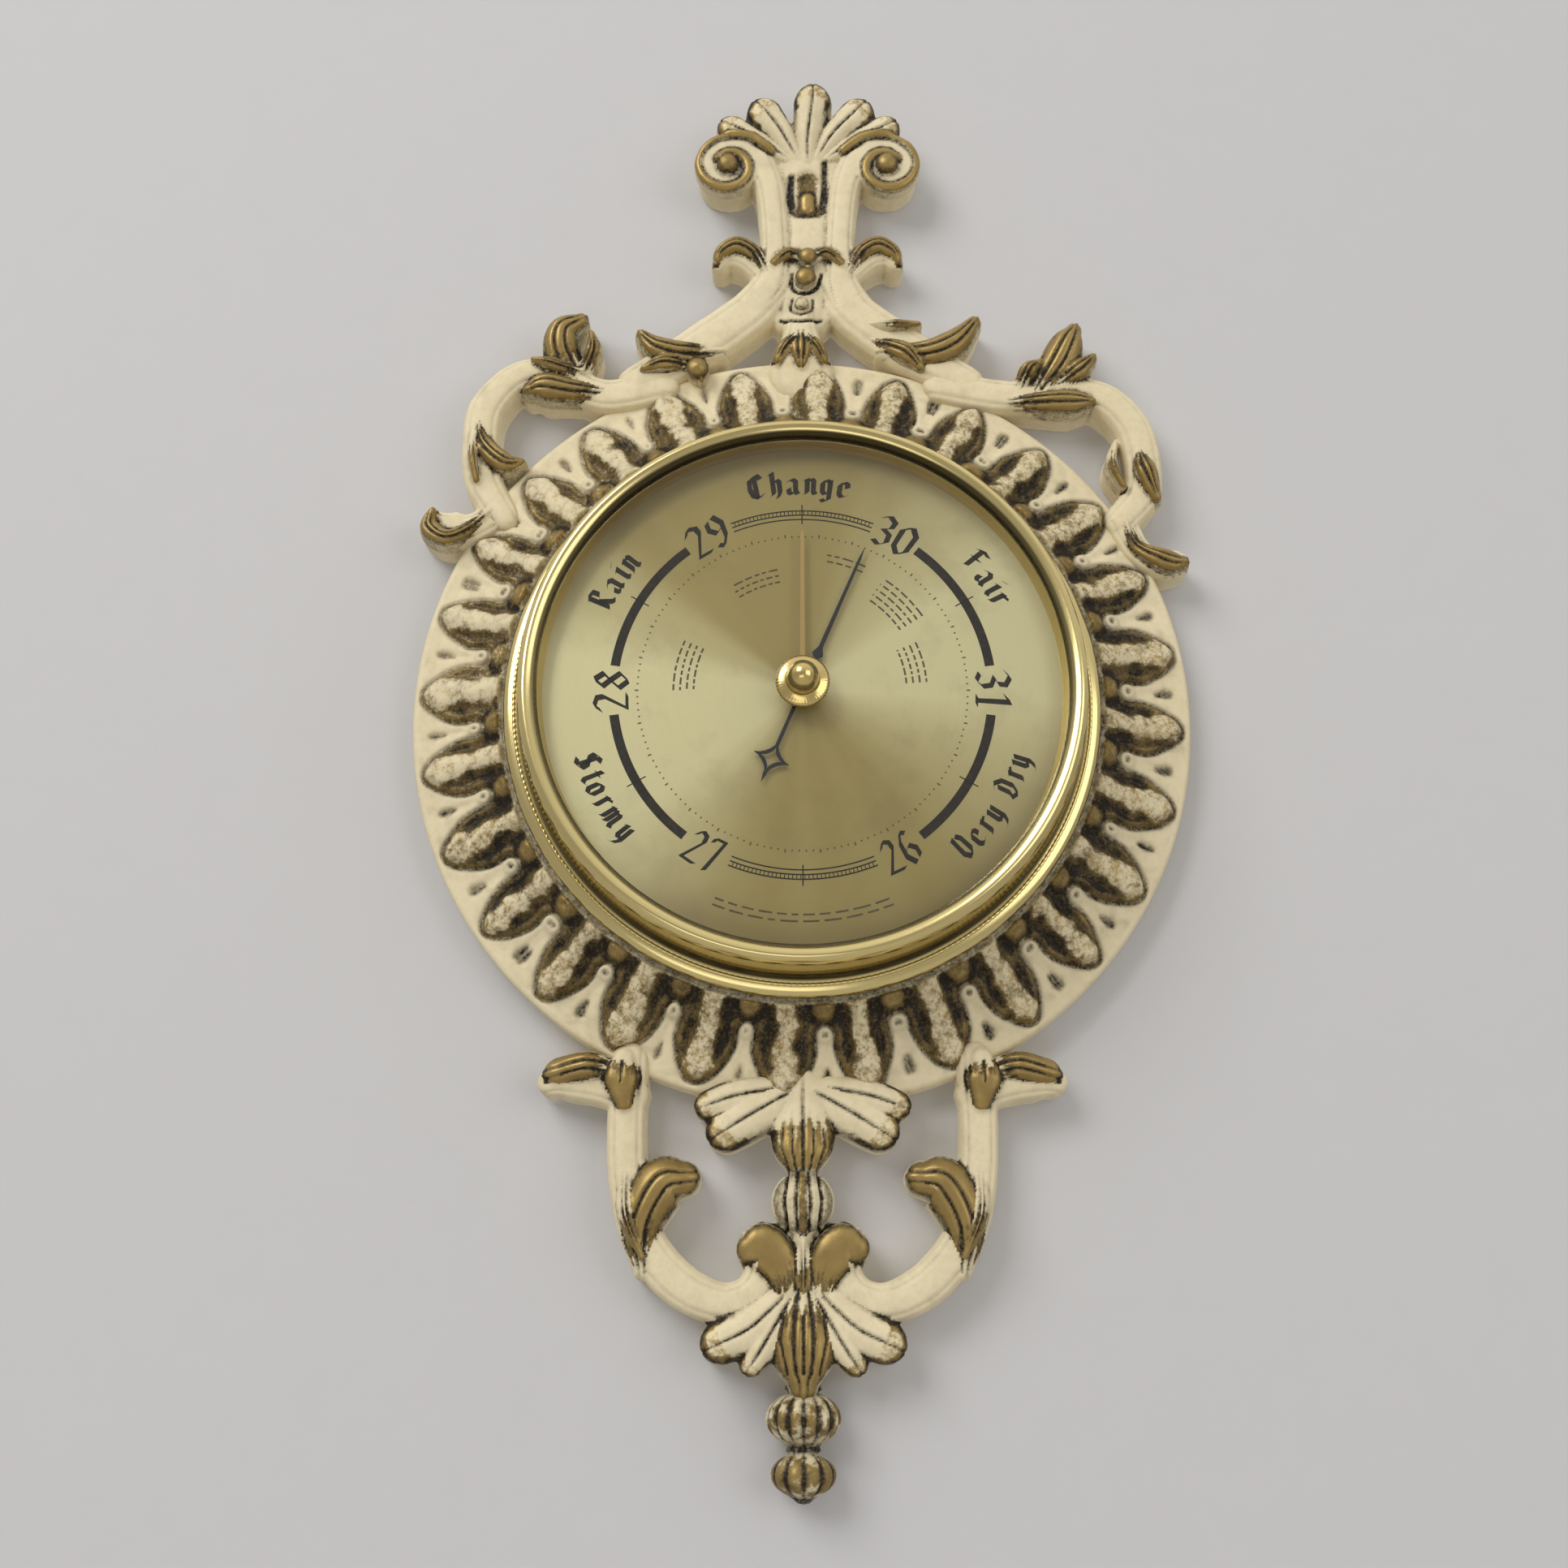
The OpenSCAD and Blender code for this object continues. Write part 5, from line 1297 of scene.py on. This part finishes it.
def tick(bm, angle, r0, r1, width, h):
    """A straight mark between two radii."""
    a = math.radians(angle)
    c, s = math.cos(a), math.sin(a)
    w = width / 2
    places = ((r0, w), (r1, w), (r1, -w), (r0, -w))
    flat_quad(bm, [(r * c + side * s, r * s - side * c) for r, side in places], h)


def arc_band(bm, r0, r1, a0, a1, h):
    """A flat band between two radii and two angles in degrees."""
    n = max(2, int(abs(a1 - a0) / 1.5))
    made = bmesh.ops.create_grid(bm, x_segments=n, y_segments=1, size=1)["verts"]
    for k, vert in enumerate(made):
        a = math.radians(a0 + (a1 - a0) * (k % (n + 1)) / n)
        r = r0 if k // (n + 1) == 0 else r1
        vert.co = place(r * math.cos(a), r * math.sin(a), h)


# Text by its angle on the dial
NUMBERS = {0: "31", 60: "30", 120: "29", 180: "28", 240: "27", 300: "26"}
WORDS = {90: "Change", 148: "Rain", 32: "Fair", 210: "Stormy", 328: "Very Dry"}
# Where the scale ring has three thin lines instead of a solid band
OPEN_SECTORS = (60, 240)
# Blocks of small dashes: middle angle, first radius, rows and angle filled
DASHES = (
    (112, 26, 3, 22), (168, 24, 4, 24), (44, 26, 5, 22), (14, 23, 4, 20), (72, 31, 2, 16),
    (270, 50.6, 2, 44),
)


def make_print(material, faint):
    """Scale ring, numbers, weather words and rows of small plain dashes."""
    ring = bpy.context.scene.barometer_shape.ring_r / MM
    h = DIAL_TOP + 0.015
    bm = bmesh.new()
    for start in range(0, 360, 60):
        low, high = start + 7.8, start + 52.2
        if start in OPEN_SECTORS:
            for r in (ring, ring - 1.05, ring - 2.1):
                arc_band(bm, r - 0.32, r, low, high, h)
            for k in range(1, 37):
                tick(bm, low + k * 1.2, ring - 1.1, ring - 0.2, 0.2, h)
        else:
            arc_band(bm, ring - 2.1, ring, low, high, h)
        tick(bm, start + 30, ring - 3.4, ring + 1.3, 0.28, h)
    for angle, text in NUMBERS.items():
        inward = angle in (240, 300)
        base = ring + 3.2 if inward else ring - 4.4
        write_round(bm, text, angle, base, 1.08, inward, (0.50, 0.30), h)
    for angle, text in WORDS.items():
        inward = angle > 180
        base = ring + (9.6 if inward else 4.0)
        write_round(bm, text, angle, base, 0.82, inward, (0.68, 0.34), h, 1.28)
    finished("dial_print", facing_out(bm), material, smooth=False)
    bm = bmesh.new()
    for k in range(150):
        tick(bm, k * 2.4, ring - 6.7, ring - (6.3 if k % 5 else 5.9), 0.32, h)
    rng = random.Random(7)
    for middle, low, rows, spread in DASHES:
        end = middle + spread / 2
        for row in range(rows):
            r = low + row * 1.5
            angle = middle - spread / 2
            while angle < end:
                size = rng.uniform(1.6, 4.5)
                arc_band(bm, r, r + 0.42, angle, min(angle + size, end), h)
                angle += size + 1.2
    finished("dial_dashes", facing_out(bm), faint, smooth=False)


def facing_out(bm):
    """Turns every face towards the viewer."""
    bmesh.ops.recalc_face_normals(bm, faces=bm.faces)
    bmesh.ops.reverse_faces(bm, faces=[f for f in bm.faces if f.normal.y > 0])
    return bm


# ---------------------------------------------------------------- other finishes


def dial_finish():
    """Silky brass dial: rings of turning lines under painted highlight sectors, with painted shade
    near the rim.
    """
    f = Finish("dial_brass")
    middle, out = f.from_axis()
    x = f.node("ShaderNodeSeparateXYZ", inputs={"Vector": middle})
    z = Socket(f, x.link.node.outputs["Z"])
    angle = f.node("ShaderNodeMath", {"operation": "ARCTAN2"}, {0: z, 1: x})
    rings = f.streaks(out, 5200.0)
    # Painted highlight: bright sectors and streaks fanning out from the middle of the dial
    highlight_streaks = f.streaks(angle, 1.5, 2.0, 0.6)
    painted_highlight = (angle * 2 + 1.1).sine() * 0.5 + 0.5
    painted_highlight = (painted_highlight.power(1.8) * 1.25 + (highlight_streaks - 0.5) * 0.7).clamp()
    stain = f.noise(60, 4, 0.6)
    # Lighter, yellower brass where the painted highlight falls
    base = f.mix(painted_highlight, (0.50, 0.385, 0.115), (1.0, 0.90, 0.50))
    base = f.mix((stain - 0.52).clamp() * 1.2, base, (0.30, 0.22, 0.10))
    base = f.mix((rings - 0.5).clamp() * 0.35, base, (0.25, 0.19, 0.09))
    # Painted shade: the outer dial darker near the bezel, away from the painted highlight
    base = f.mix(out.step(0.046, 0.0605) * (1 - painted_highlight) * 0.5, base, (0.20, 0.145, 0.05))
    return f.set(
        Base_Color=base,
        Metallic=0.35,
        Roughness=0.33 + stain * 0.1,
        Normal=f.bump(rings, 0.00003, 0.35),
    )


def print_finish(name, ink, worn_ink):
    """Printed ink, thinner in places."""
    f = Finish(name)
    worn = f.noise(900, 3, 0.6)
    base = f.mix((worn - 0.45).clamp(), ink, worn_ink)
    return f.set(Base_Color=base, Roughness=0.5 + worn * 0.2, Specular_IOR_Level=0.15)


def hand_black():
    """Black lacquer of the pointer."""
    f = Finish("hand_black")
    worn = f.noise(700, 3, 0.6)
    base = f.mix((worn - 0.55).clamp(), (0.012, 0.012, 0.013), (0.05, 0.05, 0.055))
    relief = f.bump(worn, 0.00002, 0.3)
    return f.set(Base_Color=base, Roughness=0.28 + worn * 0.15, Metallic=0.3, Normal=relief)


def clear_glass():
    """Flat clear glass that lets the light through and keeps a faint reflection."""
    f = Finish("clear_glass")
    see = f.node("ShaderNodeBsdfTransparent", inputs={"Color": (0.985, 0.99, 0.985, 1)})
    gleam = f.node("ShaderNodeBsdfGlossy", inputs={"Roughness": 0.03})
    share = f.node("ShaderNodeFresnel", inputs={"IOR": 1.45})
    dust = f.noise(300, 3, 0.6)
    share = share * 0.9 + dust * 0.01
    f.blended(share, see, gleam)
    return f.material


def worked_metal(name, tint, rough, grain=(1, 1, 1), stain=0.25):
    """Plated, stamped or drawn metal with fine grain and a little tarnish."""
    f = Finish(name)
    cloud = f.noise(45, 4, 0.6)
    fine = f.noise(1400, 3, 0.6, stretch=grain, seed=2.0)
    base = f.mix(cloud * stain, tint, [c * 0.5 for c in tint])
    return f.set(
        Base_Color=base,
        Metallic=1.0,
        Roughness=rough + fine * 0.12 + cloud * 0.08,
        Normal=f.bump(fine, 0.00003, 0.5),
    )


def fibre():
    """Brown pressed fibre of the washers."""
    f = Finish("fibre")
    grain = f.noise(900, 4, 0.7, stretch=(1, 3, 1))
    base = f.mix(grain, (0.16, 0.07, 0.03), (0.30, 0.15, 0.07))
    return f.set(Base_Color=base, Roughness=0.75 + grain * 0.1, Normal=f.bump(grain, 0.00005, 0.6))


# ---------------------------------------------------------------- operators


class BAROMETER_OT_body(bpy.types.Operator):
    """Make the round body with its wreath of leaves"""

    bl_idname = "barometer.body"
    bl_label = "Round body and wreath"

    def execute(self, context):
        make_round_body(casting_finish())
        return {"FINISHED"}


class BAROMETER_OT_scrolls(bpy.types.Operator):
    """Make the crest, the two shoulders and the pendant"""

    bl_idname = "barometer.scrolls"
    bl_label = "Cast scrolls"

    def execute(self, context):
        material = casting_finish()
        sx, sy = SHOULDER
        crest = both_sides(strokes_of(CREST_RIGHT)) + strokes_of(CREST_MIDDLE)
        crest_lines = [
            ([(leaning(x, y), y) for x, y in smooth_line(path)], *more)
            for path, *more in CREST_LINES
        ]
        pendant = both_sides(strokes_of(PENDANT_RIGHT)) + strokes_of(PENDANT_MIDDLE)
        parts = {
            "crest": (
                [stroke.bent() for stroke in crest],
                [(leaning(x, y), y, *more) for x, y, *more in CREST_BUTTONS],
                crest_lines,
            ),
            "left_shoulder": (strokes_of(LEFT, -sx, sy), moved(LEFT_BUTTONS, -sx, sy), []),
            "right_shoulder": (strokes_of(RIGHT, sx, sy), [], []),
            "pendant": (pendant, PENDANT_BUTTONS, PENDANT_LINES),
        }
        for name, (strokes, buttons, lines) in parts.items():
            piece = cast(name, strokes, buttons, lines, BACKS[name], material)
            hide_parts("frame")
        finial_turnery(material)
        return {"FINISHED"}


class BAROMETER_OT_brass_work(bpy.types.Operator):
    """Make the bezel, the sight ring and the knob"""

    bl_idname = "barometer.brass_work"
    bl_label = "Bezel, sight ring and knob"

    def execute(self, context):
        # Painted shade and dark reflection: the bezel's foot darker below the middle, its inner lip
        # darker above
        shade_and_reflection_rings = ((BEZEL_R - 4.9, BEZEL_R - 3.1, -1), (57.6, 60.0, 1))
        make_bezel(brass("bezel_brass", (0.78, 0.64, 0.29), 0.13, lines=0.15, corners=shade_and_reflection_rings))
        make_sight_ring(brass("ring_brass", (0.74, 0.60, 0.28), 0.2, lines=0.2))
        make_knob(brass("knob_brass", (0.72, 0.55, 0.22), 0.15))
        return {"FINISHED"}


class BAROMETER_OT_dial(bpy.types.Operator):
    """Print the dial and give the hands, dial and glass their finish"""

    bl_idname = "barometer.dial"
    bl_label = "Dial, hands and glass"

    def execute(self, context):
        ink = print_finish("dial_print", (0.021, 0.013, 0.005), (0.11, 0.075, 0.03))
        faint = print_finish("dial_dashes", (0.13, 0.095, 0.045), (0.36, 0.29, 0.15))
        make_print(ink, faint)
        dress({"dial": dial_finish(), "pointer": hand_black(), "glass": clear_glass()})
        dress({"set_hand": brass("set_hand_brass", (0.66, 0.46, 0.16), 0.2)})
        return {"FINISHED"}


class BAROMETER_OT_works(bpy.types.Operator):
    """Give the movement, the case and the fixings their finishes"""

    bl_idname = "barometer.works"
    bl_label = "Movement and case"

    def execute(self, context):
        plate = worked_metal("plate_brass", (0.62, 0.46, 0.20), 0.3, (1, 1, 8))
        steel = worked_metal("spring_steel", (0.42, 0.43, 0.45), 0.28, (1, 8, 1))
        zinc = worked_metal("plated_steel", (0.55, 0.56, 0.57), 0.35)
        capsule = worked_metal("capsule_metal", (0.60, 0.60, 0.58), 0.25)
        blue = worked_metal("blue_steel", (0.03, 0.07, 0.22), 0.2)
        case = worked_metal("case_brass", (0.50, 0.36, 0.15), 0.35, (1, 1, 1), 0.5)
        finishes = {
            plate: "base_plate train_plate front_plate lever_bracket rocker_bracket train_pillars "
            "spacer_pillars capsule_nut sector hairspring_collet hairspring_stud adjusting_screw",
            steel: "capsule_mount main_lever link lever_pivot rocker_shaft sector_arbor "
            "pointer_arbor capsule_pin base_screws mount_screws bracket_screws rocker_screws "
            "pillar_screws",
            zinc: "hanger_plate hanger_screws",
            capsule: "capsule_rear capsule_front",
            blue: "hairspring",
            case: "case_pan case_screws",
            fibre(): "knob_washer set_hand_washer",
        }
        for material, names in finishes.items():
            dress({name: material for name in names.split()})
        return {"FINISHED"}


def casting_finish():
    """The painted casting, made once."""
    return bpy.data.materials.get("painted_casting") or painted_casting()


def dress(finishes):
    """Gives CAD nodes their materials."""
    for name, material in finishes.items():
        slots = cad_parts[name].material_slots
        if not slots:
            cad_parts[name].data.materials.append(material)
        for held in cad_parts[name].material_slots:
            held.material = material


WALL_GAP = 0.0006
FLOOR_Z = -1.5
# Name, place, width, height and watts of each lamp
LAMPS = (
    ("key", (-0.95, -1.25, 0.85), 1.0, 1.0, 19),
    ("fill", (1.3, -1.3, -0.1), 1.2, 1.2, 7),
    ("under", (-0.3, -1.3, -1.0), 1.0, 0.4, 1.5),
)
CAMERA_AT = (-0.0041, -0.4367, -0.2518)
CAMERA_UP = 15.5
LENS, SENSOR = 44.72, 36
# Light of the room from below and from above, and the plain tone seen behind the walls
DARKEST, LIGHTEST, BEYOND = 0.06, 0.86, 0.58


class BAROMETER_OT_stage(bpy.types.Operator):
    """Make the wall, the floor, the lamps and the camera"""

    bl_idname = "barometer.stage"
    bl_label = "Wall, lamps and camera"

    def execute(self, context):
        scene = context.scene
        scene.view_settings.view_transform = "Standard"
        wall = backdrop("wall", WALL_GAP, 2.2, upright=True)
        floor = backdrop("floor", FLOOR_Z, 40, upright=False)
        studio_world(scene)
        for values in LAMPS:
            lamp(*values)
        camera = linked("camera", bpy.data.cameras.new("camera"))
        camera.location = CAMERA_AT
        camera.rotation_euler = (math.radians(90 + CAMERA_UP), 0, 0)
        camera.data.lens = LENS
        camera.data.sensor_width = SENSOR
        camera.data.clip_start = 0.01
        scene.camera = camera
        return {"FINISHED"}


def backdrop(name, level, half, upright):
    """A large pale plane, clear from behind; the wall also lets light through to the back."""
    bm = bmesh.new()
    bmesh.ops.create_grid(bm, x_segments=2, y_segments=2, size=half)
    if upright:
        turn = Matrix.Translation((0, level, 0)) @ Matrix.Rotation(math.radians(90), 4, "X")
    else:
        turn = Matrix.Translation((0, 0, level))
    bmesh.ops.transform(bm, matrix=turn, verts=bm.verts)
    plane = linked(name, mesh_of(name, bm))
    f = Finish(name + "_paint")
    plaster = f.noise(90, 5, 0.6)
    hue = shades().wall
    paint = f.mix(plaster, hue, [c * 0.97 for c in hue])
    f.set(Base_Color=paint, Roughness=0.9, Normal=f.bump(plaster, 0.0004, 0.15))
    clear = f.node("ShaderNodeBsdfTransparent")
    behind = f.node("ShaderNodeNewGeometry", output="Backfacing")
    if upright:
        seen = f.node("ShaderNodeLightPath", output="Is Camera Ray")
        behind = (behind + (1 - seen)).clamp()
    f.blended(behind, Socket(f, f.shader.outputs[0]), clear)
    plane.data.materials.append(f.material)
    return plane


def lamp(name, where, wide, high, power):
    """An area lamp that faces the dial."""
    data = bpy.data.lights.new(name, "AREA")
    data.shape = "RECTANGLE"
    data.size, data.size_y, data.energy = wide, high, power
    made = linked(name, data)
    made.location = where
    made.rotation_euler = (AXIS - Vector(where)).to_track_quat("-Z", "Y").to_euler()


def studio_world(scene):
    """Soft grey room, lighter above than below."""
    world = bpy.data.worlds.new("studio")
    world.use_nodes = True
    scene.world = world
    build = Build(world.node_tree)
    where = build.node("ShaderNodeTexCoord", output="Generated")
    up = build.node("ShaderNodeSeparateXYZ", inputs={0: where}, output="Z")
    reach = {"Value": up, "From Min": -0.6, "From Max": 0.9, "To Min": DARKEST, "To Max": LIGHTEST}
    level = build.node("ShaderNodeMapRange", inputs=reach)
    seen = build.node("ShaderNodeLightPath", output="Is Camera Ray")
    plain = build.node("ShaderNodeMix", inputs={"Factor": seen, "A": level, "B": BEYOND})
    back = world.node_tree.nodes["Background"]
    world.node_tree.links.new(plain.link, back.inputs["Strength"])
    back.inputs["Color"].default_value = (1.0, 0.99, 0.98, 1)


class BAROMETER_PT_panel(bpy.types.Panel):
    """Lists the pieces of the barometer"""

    bl_idname = "BAROMETER_PT_panel"
    bl_label = "Wall Barometer"
    bl_space_type = "VIEW_3D"
    bl_region_type = "UI"
    bl_category = "Barometer"

    def draw(self, context):
        for group in (context.scene.barometer_shape, context.scene.barometer_colours):
            for name in group.bl_rna.properties.keys():
                if name not in ("rna_type", "name"):
                    self.layout.prop(group, name)
        for operator in OPERATORS:
            self.layout.operator(operator.bl_idname)


OPERATORS = (
    BAROMETER_OT_body,
    BAROMETER_OT_scrolls,
    BAROMETER_OT_brass_work,
    BAROMETER_OT_dial,
    BAROMETER_OT_works,
    BAROMETER_OT_stage,
)
CLASSES = (BAROMETER_PG_shape, BAROMETER_PG_colours, *OPERATORS, BAROMETER_PT_panel)


def register():
    for kind in CLASSES:
        bpy.utils.register_class(kind)
    bpy.types.Scene.barometer_shape = bpy.props.PointerProperty(type=BAROMETER_PG_shape)
    bpy.types.Scene.barometer_colours = bpy.props.PointerProperty(type=BAROMETER_PG_colours)


def unregister():
    del bpy.types.Scene.barometer_colours
    del bpy.types.Scene.barometer_shape
    for kind in reversed(CLASSES):
        bpy.utils.unregister_class(kind)


def main():
    register()
    bpy.ops.barometer.body()
    bpy.ops.barometer.scrolls()
    bpy.ops.barometer.brass_work()
    bpy.ops.barometer.dial()
    bpy.ops.barometer.works()
    bpy.ops.barometer.stage()


if __name__ == "__main__":
    main()
